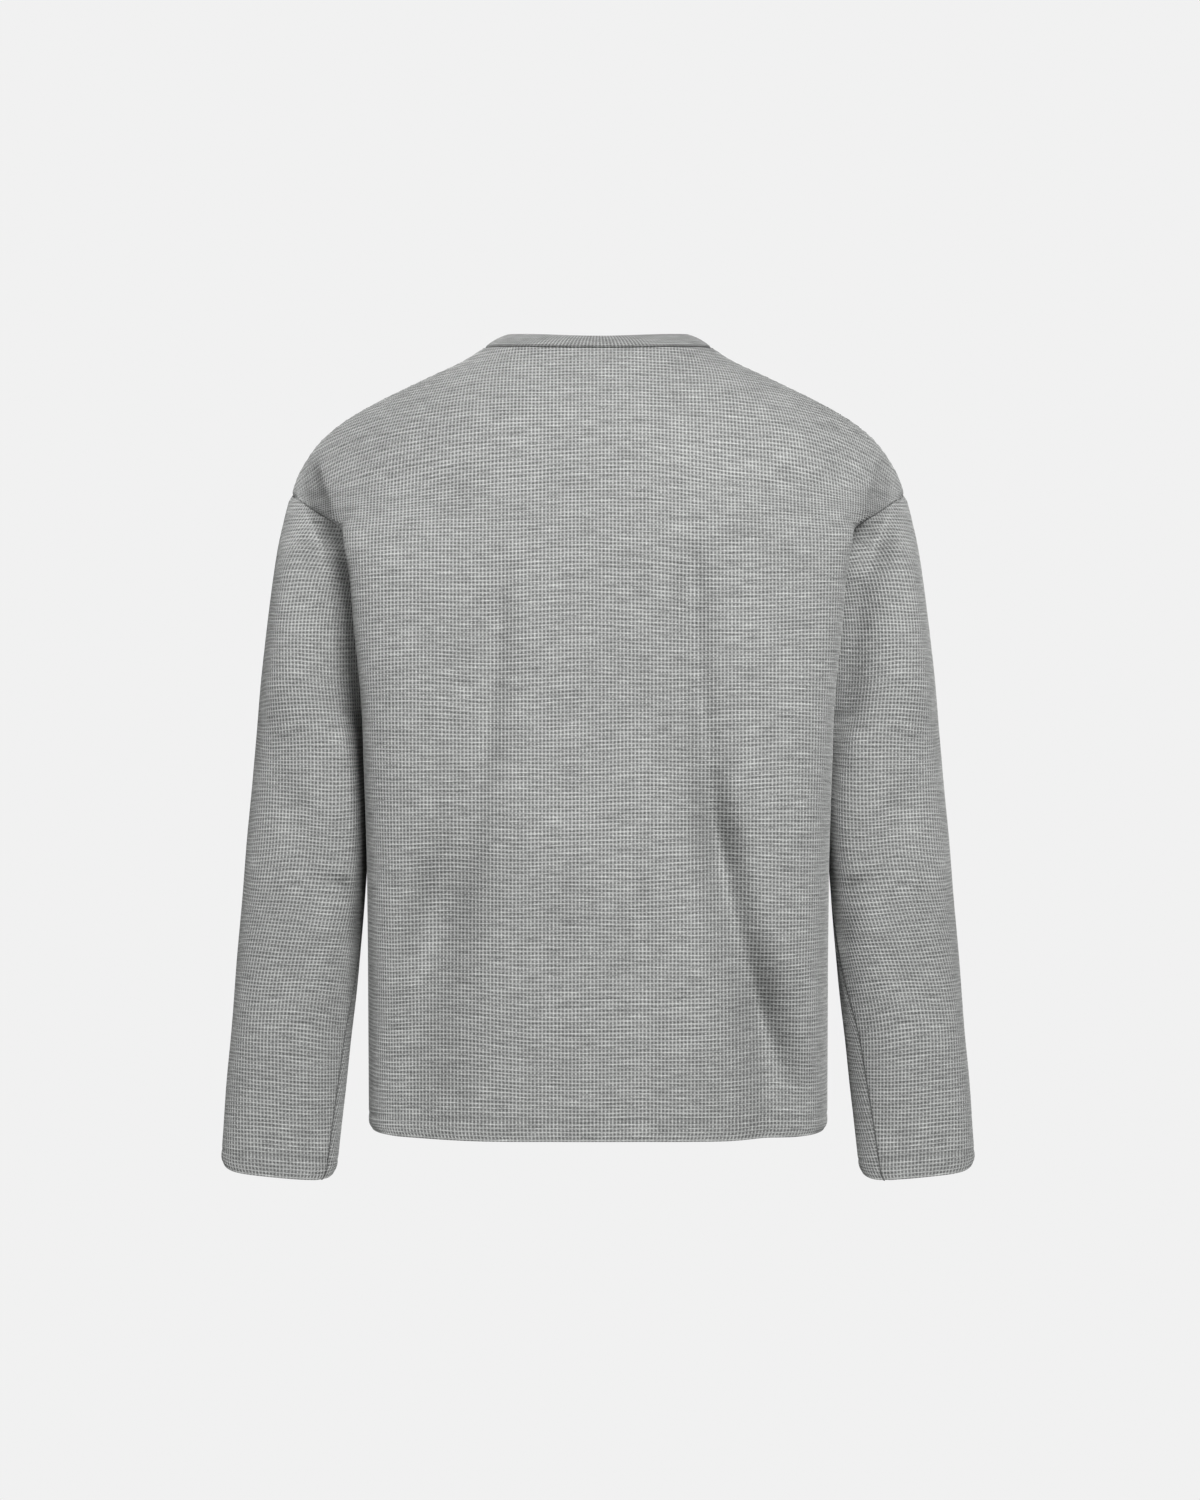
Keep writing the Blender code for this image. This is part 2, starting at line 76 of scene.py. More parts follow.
# How many points curves are sampled at
ARC_POINTS = 90
NECK_POINTS = 500
ARMHOLE_POINTS = 700
EDGE_POINTS = 900
# Directions that cross less than this are taken as parallel
PARALLEL = 0.02
# Corners that round to the same step of 1/40 mm are one
MERGE_STEPS = 40
# The share of the way to a cut edge that is still inside it
INSIDE = 0.9999
# How much of the map for baking a piece fills, and the margin it leaves
BAKE_FILL, BAKE_MARGIN = 0.98, 0.01
log = logging.getLogger("thermal_top")


class Side(Enum):
    """Which way a panel faces along Y."""

    BACK = 1.0
    FRONT = -1.0


class Hand(Enum):
    """Which arm a sleeve is on, as the sign of its X."""

    LEFT = 1.0
    RIGHT = -1.0


class Hang(NamedTuple):
    """How far the courses hang down at a panel's sewn edges, at one height."""

    height: float
    drop: float


@dataclass(frozen=True)
class Section:
    """Half a level section of the torso: the flank where it turns and the edge that is sewn.

    Angles are of the path: 0 runs outward, 90 runs to the middle plane, more folds back under.
    """

    height: float
    flank_x: float
    flank_y: float
    flank_angle: float
    edge_x: float
    edge_y: float
    edge_angle: float
    fullness: float = 1.0


@dataclass(frozen=True)
class Tube:
    """Half a level section of the sleeve: outer line, deepest point and the edge's angle."""

    height: float
    outer_x: float
    top_x: float
    top_y: float
    top_angle: float
    inner_x: float
    end_angle: float
    fullness: float = 1.0


Row = TypeVar("Row", Section, Tube)


@dataclass(frozen=True)
class Fold:
    """A soft trough, or a ridge where its depth is negative, down a line through 3 places."""

    x_top: float
    z_top: float
    x_mid: float
    z_mid: float
    x_low: float
    z_low: float
    wide_top: float
    wide_low: float
    depth: float
    lean: float = 1.0
    ends: float = 0.22
    start: float = 0.1

    def sink(self, x: Array, z: Array) -> Array:
        """How far the fold sinks the cloth.

        Args:
            x: Places across the body.
            z: Heights of the same places.

        Returns:
            The depth at each place.
        """
        (z0, x0), (z1, x1), (z2, x2) = sorted(
            [(self.z_top, self.x_top), (self.z_mid, self.x_mid), (self.z_low, self.x_low)]
        )
        line = (
            x0 * (z - z1) * (z - z2) / ((z0 - z1) * (z0 - z2))
            + x1 * (z - z0) * (z - z2) / ((z1 - z0) * (z1 - z2))
            + x2 * (z - z0) * (z - z1) / ((z2 - z0) * (z2 - z1))
        )
        down = (z - z2) / (z0 - z2)
        wide = self.wide_top + (self.wide_low - self.wide_top) * np.clip(down, 0, 1)
        wide = wide * np.where(x > line, self.lean, 1 / self.lean)
        fade = ease(down / self.ends + self.start) * ease((1 - down) / self.ends + self.start)
        return self.depth * fade * np.exp(-(((x - line) / wide) ** 2))


@dataclass(frozen=True)
class Dent:
    """A hollow along a line in space, or a crest where its depth is negative.

    Its side towards the body's middle is an even slope, the other one is soft.
    """

    line: tuple[Place, ...]
    wide: float
    slope: float
    depth: float
    spacing: float = 1.5
    ends: float = 0.25

    def sink(self, places: Array) -> Array:
        """How far the dent sinks the cloth.

        Args:
            places: Points, in their last axis.

        Returns:
            The depth at each one.
        """
        points = np.array(self.line, dtype=float)
        fine = read_curve(points, np.arange(0.0, lengths_along(points)[-1], self.spacing))
        index, away = nearest(search_tree(fine), places)
        share = index / (len(fine) - 1)
        ends = ease(share / self.ends) * ease((1 - share) / self.ends)
        even = np.clip(1 - away / self.slope, 0, 1)
        soft = np.exp(-((away / self.wide) ** 2))
        return self.depth * ends * np.where(places[..., 0] < fine[index, 0], even, soft)


TORSO = (
    Section(0, 70, 40, 42, 98, 0, 90),
    Section(-10, 84, 46, 42, 113, 0, 90),
    Section(-27, 110, 54, 41, 149, 0, 90),
    Section(-45, 136, 60, 40, 186, 0, 90),
    Section(-62, 160, 64, 39, 216, 0, 90),
    Section(-79, 178, 70, 39, 237, 0, 90),
    Section(-96, 190, 75, 38, 250, 0, 90),
    Section(-113, 199, 80, 38, 259, 0, 90),
    Section(-126, 203, 84, 39, 262.5, 0, 90),
    Section(-134, 204, 86, 41, 252, 35, 56),
    Section(-144, 206, 87, 46, 238, 55, 50, 0.99),
    Section(-153, 210, 86, 60, 224, 64, 84),
    Section(-162, 214.5, 85, 84, 213, 61, 122, 1.15),
    Section(-176, 213, 85, 90, 207, 53, 118, 1.35),
    Section(-200, 209, 84, 90, 202, 43, 112, 1.48),
    Section(-240, 206, 80, 90, 197, 33, 107, 1.54),
    Section(-280, 202, 73, 90, 193, 24, 101, 1.64),
    Section(-308, 199.8, 66, 90, 190.8, 14, 96, 1.68),
    Section(-322, 199.2, 62, 90, 190, 0, 90, 1.7),
    Section(-360, 198.4, 50, 90, 191, 0, 90, 1.72),
    Section(-400, 197.4, 37, 90, 193.3, 0, 90, 1.72),
    Section(-455, 196.6, 22, 90, 195.8, 0, 90, 1.72),
    Section(-540, 196.3, 14, 90, 196.1, 0, 90, 1.66),
    Section(-673, 196.2, 12, 90, 196, 0, 90, 1.58),
)
SLEEVE = (
    Tube(-126, 262.5, 262.5, 0, 130, 262.5, 130),
    Tube(-134, 266, 261, 21, 118, 252, 124),
    Tube(-144, 268.5, 258, 36, 124, 238, 138),
    Tube(-153, 270.5, 254, 47, 130, 224, 152),
    Tube(-162, 272.5, 253, 53, 138, 213, 168),
    Tube(-176, 275, 254, 60, 156, 207, 196),
    Tube(-200, 278.6, 255, 66, 172, 202, 220),
    Tube(-240, 284, 256, 68, 178, 197, 228),
    Tube(-280, 288.5, 250, 67, 180, 193, 236, 1.03),
    Tube(-308, 291.3, 241, 65, 180, 190.8, 245, 1.13),
    Tube(-322, 292.5, 235, 64, 180, 190, 250, 1.22),
    Tube(-345, 294.5, 225, 63, 180, 193.2, 259, 1.33),
    Tube(-400, 299.5, 217, 60, 180, 196.4, 268, 1.4),
    Tube(-457, 304.4, 224, 57, 180, 199.6, 270, 1.35),
    Tube(-526, 310.5, 248, 51, 180, 205.4, 270, 1.2),
    Tube(-595, 315.6, 264, 44, 180, 212.6, 270),
    Tube(-664, 321.6, 271, 36, 180, 220.4, 270),
    Tube(-711, 324.5, 274.5, 31, 180, 224.8, 270),
)
DROOP = (
    Hang(0, 0), Hang(-10, 5), Hang(-27, 11), Hang(-45, 16), Hang(-62, 22), Hang(-79, 30),
    Hang(-96, 40), Hang(-113, 50), Hang(-124, 55), Hang(-130, 45), Hang(-136, 32), Hang(-144, 20),
    Hang(-153, 11), Hang(-162, 7), Hang(-200, 3), Hang(-322, 0), Hang(-673, 0),
)
BACK_FOLDS = (
    Fold(82, -170, 97, -345, 142, -540, 14, 32, 14.0, 1.4, 0.24),
    Fold(124, -400, 146, -540, 166, -740, 24, 38, 32.0, 0.85, 0.36),
    Fold(-79, -150, -84, -300, -112, -480, 12, 15, 12.0, 1.1),
    Fold(-92, -350, -118, -507, -162, -650, 16, 22, 29.0, 1.15, 0.32),
    Fold(-130, -500, -142, -600, -148, -760, 20, 29, 27.0, 0.85, 0.3),
    Fold(-70, -240, -78, -430, -92, -665, 12, 15, -4.0),
    Fold(42, -450, 42, -570, 46, -700, 13, 17, 4.5),
    Fold(-36, -440, -37, -570, -40, -700, 13, 17, 4.5),
    Fold(222, -162, 231, -131, 250, -96, 8, 8, 3.0),
    Fold(-221, -162, -229, -131, -247, -96, 8, 8, 3.0),
)
FRONT_FOLDS = (
    Fold(-72, -190, -98, -380, -160, -620, 22, 34, 6.0),
    Fold(84, -170, 96, -350, 150, -600, 20, 28, 7.0),
    Fold(10, -430, 6, -560, 14, -690, 16, 22, 3.0),
    Fold(60, -480, 66, -590, 74, -690, 11, 15, -2.5),
    Fold(-34, -500, -40, -600, -46, -690, 12, 16, -2.0),
)
SLEEVE_BACK_FOLDS = (
    Fold(228, -185, 219, -250, 208, -330, 13, 12, 6.0),
    Fold(222, -450, 211, -484, 203, -520, 12, 12, 8.0),
    Fold(282, -300, 262, -400, 222, -500, 12, 14, 2.6),
    Fold(228, -500, 262, -545, 300, -600, 13, 13, 2.2),
)
SLEEVE_FRONT_FOLDS = (
    Fold(246, -230, 234, -340, 216, -440, 13, 15, 3.5),
    Fold(214, -470, 248, -500, 296, -520, 12, 12, 4.5),
    Fold(222, -530, 256, -560, 300, -585, 11, 11, 2.6),
)
BESIDE_ARMHOLE = (
    (266, 10, -90), (260, 28, -110), (253, 42, -130),
    (245, 52, -148), (236, 58, -168), (226, 58, -206),
)
ABOVE_ARMHOLE = (
    (243, 28, -94), (234, 50, -112), (227, 62, -130),
    (220, 76, -148), (215, 85, -168), (210, 84, -204),
)
ARMHOLE_DENTS = (Dent(BESIDE_ARMHOLE, 14, 25, 19), Dent(ABOVE_ARMHOLE, 9, 32, -7.5))


def ease(t: Array | float) -> Array:
    """Ease values from 0 to 1."""
    t = np.clip(t, 0.0, 1.0)
    return t * t * (3.0 - 2.0 * t)


def read_column(rows: Sequence[Section] | Sequence[Tube], name: str, height: float) -> float:
    """Read one column of a table at a height, by a curve that doesn't overshoot.

    Args:
        rows: The table, from its top row down.
        name: The column's name.
        height: Where to read it.

    Returns:
        The column's value there.
    """
    z = np.array([row.height for row in rows], dtype=float)[::-1]
    v = np.array([getattr(row, name) for row in rows], dtype=float)[::-1]
    step = np.diff(z)
    rate = np.diff(v) / step
    slope = np.zeros(len(z))
    together = rate[:-1] * rate[1:] > 0
    mean = 2 * rate[:-1] * rate[1:] / np.where(together, rate[:-1] + rate[1:], 1.0)
    slope[1:-1] = np.where(together, mean, 0.0)
    slope[0], slope[-1] = rate[0], rate[-1]
    i = int(np.clip(np.searchsorted(z, height) - 1, 0, len(step) - 1))
    t = float(np.clip((height - z[i]) / step[i], 0.0, 1.0))
    rise = (1 + 2 * t) * (1 - t) ** 2 * v[i] + t * t * (3 - 2 * t) * v[i + 1]
    return rise + step[i] * (t * (1 - t) ** 2 * slope[i] - t * t * (1 - t) * slope[i + 1])


def read_row(rows: Sequence[Row], height: float) -> Row:
    """Read a whole row of a table at a height."""
    kind = type(rows[0])
    return kind(*(read_column(rows, name, height) for name in kind.__annotations__))


def arc(
    start: Sequence[float],
    start_angle: float,
    end: Sequence[float],
    end_angle: float,
    fullness: float = 1.0,
) -> Array:
    """Sample a smooth curve whose handles reach for the crossing of its two directions.

    Args:
        start: First point.
        start_angle: Direction of leaving it, in degrees.
        end: Last point.
        end_angle: Direction of arriving there, in degrees.
        fullness: How far the handles reach, 1 as on an ellipse.

    Returns:
        The samples, one a row.
    """
    a, b = np.array(start, dtype=float), np.array(end, dtype=float)
    leave = np.array([np.cos(np.radians(start_angle)), np.sin(np.radians(start_angle))])
    arrive = np.array([np.cos(np.radians(end_angle)), np.sin(np.radians(end_angle))])
    turn = np.radians(abs(end_angle - start_angle))
    chord = np.linalg.norm(b - a)
    pulls = np.full(2, chord / 3)
    crossing = leave[0] * arrive[1] - leave[1] * arrive[0]
    if abs(crossing) > PARALLEL:
        gap = b - a
        far_a = gap[0] * arrive[1] - gap[1] * arrive[0]
        far_b = leave[0] * gap[1] - leave[1] * gap[0]
        part = 4 / 3 * np.tan(turn / 4) / np.tan(turn / 2)
        reach = part * np.array([far_a, far_b]) / crossing
        pulls = np.where(reach > 0, np.minimum(reach, chord), pulls)
    from_a, to_b = a + fullness * pulls[0] * leave, b - fullness * pulls[1] * arrive
    t = np.linspace(0, 1, ARC_POINTS)[:, None]
    return (1 - t) ** 3 * a + 3 * t * (1 - t) ** 2 * from_a + 3 * t * t * (1 - t) * to_b + t**3 * b


def lengths_along(curve: Array) -> Array:
    """The distance from a curve's first point to each of its points."""
    return np.concatenate([[0.0], np.cumsum(np.linalg.norm(np.diff(curve, axis=0), axis=1))])


def read_curve(curve: Array, at: Array) -> Array:
    """Read a sampled curve at distances along it, running straight on past its last point.

    Args:
        curve: Points, one a row.
        at: Distances from the first point.

    Returns:
        One point a distance.
    """
    along = lengths_along(curve)
    places = np.stack([np.interp(at, along, column) for column in curve.T], -1)
    last = curve[-1] - curve[-2]
    past = np.maximum(at - along[-1], 0.0)[:, None] / max(np.linalg.norm(last), TINY)
    return places + past * last


def read_rows(grid: Array, rows: Array) -> Array:
    """Read a grid at parts of rows, column by column.

    Args:
        grid: Values in rows and columns, with any further axes.
        rows: The row to read for each row and column.

    Returns:
        The values there.
    """
    low = np.minimum(rows.astype(int), len(grid) - 2)
    part = (rows - low).reshape(rows.shape + (1,) * (grid.ndim - 2))
    columns = np.arange(grid.shape[1])[None]
    return grid[low, columns] * (1 - part) + grid[low + 1, columns] * part


def ripple(places: Array, size: float, seed: float) -> Array:
    """Smooth noise from about -1 to 1 at places on the cloth.

    Args:
        places: Points, in their last axis.
        size: How far apart its bumps are.
        seed: Where in the noise to start.

    Returns:
        One value a point.
    """
    points = places.reshape(-1, 3) / size + seed
    values = np.array([noise.noise(Vector(point)) for point in points])
    return values.reshape(places.shape[:-1])


def search_tree(points: Array) -> KDTree:
    """Make a search tree.

    Args:
        points: Its points, one a row.

    Returns:
        The tree.
    """
    tree = KDTree(len(points))
    for index, point in enumerate(points):
        tree.insert(Vector(point), index)
    tree.balance()
    return tree


def nearest(tree: KDTree, places: Array) -> tuple[NDArray[np.int64], Array]:
    """Find the nearest point of a search tree to each place.

    Args:
        tree: The points.
        places: The places, in their last axis.

    Returns:
        The points' indices, and how far away they are.
    """
    found = np.array([tree.find(Vector(place))[1:] for place in places.reshape(-1, 3)])
    found = found.reshape(*places.shape[:-1], 2)
    return found[..., 0].astype(int), found[..., 1]


def add_maps(mesh: Mesh, flat: Array, seam: Array, low: Array | float, span: float) -> None:
    """Give a mesh its flat coordinates, its distances from a seam and a map for baking.

    Args:
        mesh: The mesh.
        flat: Flat coordinates at every corner of its faces.
        seam: Distances from a seam there.
        low: The lowest flat coordinates.
        span: The longer side of the flat piece.
    """
    maps = {
        "Flat": flat * MM,
        "Seams": np.stack([seam, flat[:, 1]], -1) * MM,
        "OFBake": (flat - low) / span * BAKE_FILL + BAKE_MARGIN,
    }
    for title, values in maps.items():
        layer = mesh.uv_layers.new(name=title, do_init=False)
        layer.uv.foreach_set("vector", values.reshape(-1).astype(np.float32))


@dataclass(frozen=True)
class TorsoForm:
    """The filled-out body of the top, without its sleeves."""

    hem: float = -673.0
    underarm: float = -322.0
    shoulder_tip: float = -126.0
    front_neck: float = -85.0
    back_neck: float = -5.0
    neck_depth: float = 60.0
    back_full: float = 131.0
    back_rise: float = 70.0
    front_full: float = 133.0
    front_rise: float = 120.0
    hem_tuck: float = 11.0
    hem_tuck_power: float = 6.0
    corner_radius: float = 12.0
    corner_inset: float = 4.5
    corner_lift: float = 4.5
    corner_power: float = 10.0
    neck_half_width: float = 98.0
    scoop_down: float = 2.2
    scoop_across: float = 2.1

    def depth(self, height: Array | float, side: Side) -> Array:
        """The depth of the torso's middle line.

        Args:
            height: One level or more.
            side: The panel.

        Returns:
            The depth at each level.
        """
        full, rise = self.back_full, self.back_rise
        if side is Side.FRONT:
            full, rise = self.front_full, self.front_rise
        filled = full - (full - self.neck_depth) * np.exp(np.asarray(height) / rise)
        return filled - self.hem_tuck * (np.asarray(height) / self.hem) ** self.hem_tuck_power

    def section(self, height: float, side: Side) -> Array:
        """Half a section, from the middle to the sewn edge.

        Args:
            height: Its level.
            side: The panel.

        Returns:
            Points of x and depth.
        """
        row = read_row(TORSO, height)
        middle, flank = (0.0, float(self.depth(height, side))), (row.flank_x, row.flank_y)
        main = arc(middle, 0, flank, -row.flank_angle, row.fullness)
        rest = arc(flank, -row.flank_angle, (row.edge_x, row.edge_y), -row.edge_angle)
        return np.concatenate([main, rest[1:]])

    def edge(self, height: float) -> Array:
        """The sewn edge's x and depth at a height."""
        return np.array([read_column(TORSO, name, height) for name in ("edge_x", "edge_y")])

    def round_corners(self, places: Array) -> Array:
        """Round the hem's corners by the side seams.

        Args:
            places: Points, in their last axis.

        Returns:
            The same points, drawn in and lifted where they are near a corner.
        """
        near = np.clip(1 - (places[..., 2] - self.hem) / self.corner_radius, 0, 1)
        half_width = read_column(TORSO, "flank_x", self.hem)
        aside = np.clip(np.abs(places[..., 0]) / half_width, 0, 1)
        moved = places.copy()
        moved[..., 0] *= 1 - self.corner_inset * (1 - np.sqrt(1 - near * near)) / half_width
        moved[..., 2] += self.corner_lift * aside**self.corner_power * ease(near)
        return moved

    def neck_line(self, side: Side) -> Array:
        """The neck seam of one panel, from its middle to the left shoulder.

        Args:
            side: The panel.

        Returns:
            Points in the frame, one a row.
        """
        turn = np.linspace(0, np.pi / 2, NECK_POINTS)
        if side is Side.BACK:
            across = self.neck_half_width * np.sin(turn)
            heights = self.back_neck * (1 - (across / self.neck_half_width) ** 2)
        else:
            heights = self.front_neck * np.cos(turn) ** (2 / self.scoop_down)
            left = np.maximum(1 - (heights / self.front_neck) ** self.scoop_down, 0.0)
            across = self.neck_half_width * left ** (1 / self.scoop_across)
        line = []
        for x, z in zip(across, heights):
            half = self.section(z, side)
            line.append((x, side.value * np.interp(x, half[:, 0], half[:, 1]), z))
        return np.array(line)


@dataclass(frozen=True)
class SleeveForm:
    """The left sleeve, from the shoulder tip and armhole down to its cuff."""

    torso: TorsoForm
    cuff: float = -711.0
    outer_fullness: float = 1.25
    cuff_tilt: float = 0.09
    tilt_starts: float = -400.0
    cuff_corner: float = 5.0
    corner_starts: float = -690.0
    corner_ends: float = -710.0
    corner_power: float = 8
    corner_inset: float = 4.5
    corner_radius: float = 12.0
    twist: float = 20.0
    twist_starts: float = -420.0
    twist_over: float = 180.0
    seam_fade: float = 0.22
    outer_fade: float = 0.3

    def half(self, height: float) -> Array:
        """Half a section, from the outer line to the armhole or underarm seam.

        Args:
            height: Its level.

        Returns:
            Points of x and depth.
        """
        row = read_row(SLEEVE, height)
        outer, top = (row.outer_x, 0.0), (row.top_x, row.top_y)
        inner = self.torso.edge(height) if height > self.torso.underarm else (row.inner_x, 0.0)
        over = arc(outer, 90, top, row.top_angle, self.outer_fullness)
        under = arc(top, row.top_angle, inner, row.end_angle, row.fullness)
        return np.concatenate([over, under[1:]])

    def turned(self, height: float) -> float:
        """How far the cloth is turned round the arm, towards the back, at a height."""
        return float(self.twist * ease((self.twist_starts - height) / self.twist_over))

    def ring(self, height: float, across: Array) -> tuple[Array, float]:
        """Places of the wales round one level of the sleeve.

        Args:
            height: The level.
            across: Distances from the outer line, to the back where they are positive.

        Returns:
            The places, and the distance from the outer line to the seam.
        """
        half = self.half(height)
        reach = float(lengths_along(half)[-1])
        at = across - self.turned(height)
        if height <= self.torso.underarm:
            at = (at + reach) % (2 * reach) - reach
        flat = read_curve(half, np.abs(at))
        share = np.clip(np.abs(at) / max(reach, TINY), 0, 1)
        free = ease((1 - share) / self.seam_fade) * ease(share / self.outer_fade)
        levels = np.full(len(at), height)
        back = sum(fold.sink(flat[:, 0], levels) for fold in SLEEVE_BACK_FOLDS)
        front = sum(fold.sink(flat[:, 0], levels) for fold in SLEEVE_FRONT_FOLDS)
        depth = flat[:, 1] - np.where(at >= 0, back, front) * free
        middle = (half[0, 0] + half[-1, 0]) / 2
        wide = max(abs(half[0, 0] - half[-1, 0]) / 2, TINY)
        aside = (flat[:, 0] - middle) / wide
        low = ease((self.corner_starts - height) / (self.corner_starts - self.corner_ends))
        lift = self.cuff_corner * np.clip(np.abs(aside), 0, 1) ** self.corner_power * low
        tilt = self.cuff_tilt * ease((self.tilt_starts - height) / (self.tilt_starts - self.cuff))
        z = height + tilt * (flat[:, 0] - middle) + lift
        near = float(np.clip(1 - (height - self.cuff) / self.corner_radius, 0, 1))
        inset = self.corner_inset * (1 - np.sqrt(1 - near * near))
        x = middle + (flat[:, 0] - middle) * (1 - inset / wide)
        return np.stack([x, np.sign(at) * depth, z], -1), reach


@dataclass(frozen=True)
class WaffleKnit:
    """The size of the knit's cells, and how a seam and a stitch line draw the cloth in."""

    wale: float = 3.1
    course: float = 3.3
    pit: float = 0.7
    least_cell: float = 0.45
    least_pit: float = 0.02
    seam_dip: float = 0.3
    seam_reach: float = 1.3
    seam_puff: float = 0.35
    puff_off: float = 5.5
    puff_wide: float = 3.0
    plain_by_seam: float = 2.4
    stitch_dip: float = 0.45
    turn_up: int = 5
    fold_radius: float = 1.3
    fold_steps: int = 4


@dataclass
class Lattice:
    """Corners of the knit's cells, in courses (rows) and wales (columns).

    Attributes:
        places: Where each corner lies.
        flat: Its place on the flat cloth.
        inside: Whether it is within the cut piece.
        outlines: The piece's cut edges, as lines of points.
        corners: The sharp corners of its outline.
        flip: Whether its faces turn the other way.
        turned_up: How many of its first rows are a hem's allowance, without pits.
        seam: How far each corner is from a seam.
    """

    places: Array
    flat: Array
    inside: NDArray[np.bool_]
    outlines: list[Array]
    corners: list[Array]
    flip: bool
    turned_up: int = 0
    seam: Array = field(init=False)

    def __post_init__(self) -> None:
        """Measure how far each corner is from a seam."""
        self.seam = nearest(search_tree(np.concatenate(self.outlines)), self.places)[1]

    def kept_cells(self) -> NDArray[np.bool_]:
        """Which cells have a corner inside the piece."""
        inside = self.inside
        return inside[:-1, :-1] | inside[:-1, 1:] | inside[1:, 1:] | inside[1:, :-1]

    def trim(self) -> None:
        """Move the corners that lie outside onto the cut edges, and fill its sharp corners."""
        tree = search_tree(np.concatenate(self.outlines))
        kept, sides = self.kept_cells(), ((0, 1), (1, 0))
        used = np.any([np.pad(kept, (rows, columns)) for rows in sides for columns in sides], axis=0)
        edge = np.argwhere(used & ~self.inside)
        for row, column in edge:
            self.places[row, column] = tree.find(Vector(self.places[row, column]))[0]
        self.seam[~self.inside] = 0.0
        for corner in self.corners:
            away = np.linalg.norm(self.places[edge[:, 0], edge[:, 1]] - corner, axis=1)
            if len(away):
                self.places[tuple(edge[np.argmin(away)])] = corner

    def normals(self) -> Array:
        """Outward directions at the corners.

        Returns:
            A unit vector for each corner.
        """
        normal = np.cross(np.gradient(self.places, axis=1), np.gradient(self.places, axis=0))
        length = np.linalg.norm(normal, axis=-1, keepdims=True)
        return normal / np.where(length > TINY, length, 1.0) * (-1.0 if self.flip else 1.0)

    def sink_dents(self) -> None:
        """Sink the cloth of the back straight forwards where a dent lies on it."""
        y = self.places[..., 1]
        places = np.concatenate([np.abs(self.places[..., :1]), self.places[..., 1:]], -1)
        depth = sum(dent.sink(places) for dent in ARMHOLE_DENTS)
        self.places[..., 1] = y - np.where(y > 0, depth, 0.0)

    def draw_in(self, knit: WaffleKnit) -> None:
        """Sink the cloth along its seams, puff it up beside them and dent the stitched course.

        Args:
            knit: How far the cloth moves.
        """
        dip = knit.seam_dip * np.exp(-((self.seam / knit.seam_reach) ** 2))
        puff = knit.seam_puff * np.exp(-(((self.seam - knit.puff_off) / knit.puff_wide) ** 2))
        move = puff - dip
        move[knit.turn_up] -= knit.stitch_dip
        self.places += self.normals() * move[..., None]

    def turn_up_hem(self, knit: WaffleKnit) -> None:
        """Add rows that fold the lowest course round and up inside, as a hem's allowance.

        Args:
            knit: The fold's radius and how many courses it turns up.
        """
        out = self.normals()
        radius = knit.fold_radius
        places, flat = [], []
        for step in range(1, knit.fold_steps):
            angle = np.pi * step / knit.fold_steps
            drop = radius * np.sin(angle)
            places.append(self.places[0] - out[0] * radius * (1 - np.cos(angle)) - UP * drop)
            flat.append(self.flat[0] - np.array([0.0, radius * angle]))
        for course in range(knit.turn_up + 1):
            places.append(self.places[course] - out[course] * 2 * radius)
            flat.append(self.flat[0] - np.array([0.0, radius * np.pi + knit.course * course]))
        self.turned_up = len(places)
        self.places = np.concatenate([places[::-1], self.places])
        self.flat = np.concatenate([flat[::-1], self.flat])
        self.inside = np.concatenate([self.inside[:1]] * len(places) + [self.inside])
        self.seam = np.concatenate([self.seam[:1]] * len(places) + [self.seam])

    def cells(self, knit: WaffleKnit) -> tuple[Array, list[list[int]]]:
        """The cells' faces: four facets down into each pit, and plain ones in cut cells.

        Args:
            knit: The cells' sizes.

        Returns:
            Rows of place, flat coordinates and distance from a seam, and the faces over them.
        """
        ids = np.arange(self.inside.size).reshape(self.inside.shape)
        quads = np.stack([ids[:-1, :-1], ids[:-1, 1:], ids[1:, 1:], ids[1:, :-1]], -1)
        quads = quads[self.kept_cells()]
        if self.flip:
            quads = quads[:, ::-1]
        data = np.concatenate([self.places, self.flat, self.seam[..., None]], -1).reshape(-1, 6)
        places = data[:, :3]
        pits = ease(self.seam / knit.plain_by_seam)
        pits[: self.turned_up] = 0.0
        share = pits.reshape(-1)[quads].mean(axis=1)
        spans = places[quads[:, 2]] - places[quads[:, 0]], places[quads[:, 3]] - places[quads[:, 1]]
        area = np.linalg.norm(np.cross(*spans), axis=1) / 2
        full = area / (knit.wale * knit.course)
        pitted = (full > knit.least_cell) & (share > knit.least_pit)
        ring = quads[pitted]
        depth = knit.pit * share[pitted] * np.clip(full[pitted], 0, 1)
        middles = data[ring].mean(axis=1)
        middles[:, :3] -= self.normals().reshape(-1, 3)[ring].mean(axis=1) * depth[:, None]
        middle_ids = len(data) + np.arange(len(middles))
        sides = [np.stack([ring[:, k], ring[:, (k + 1) % 4], middle_ids], -1) for k in range(4)]
        facets = np.stack(sides, axis=1).reshape(-1, 3)
        return np.concatenate([data, middles]), [*facets.tolist(), *quads[~pitted].tolist()]

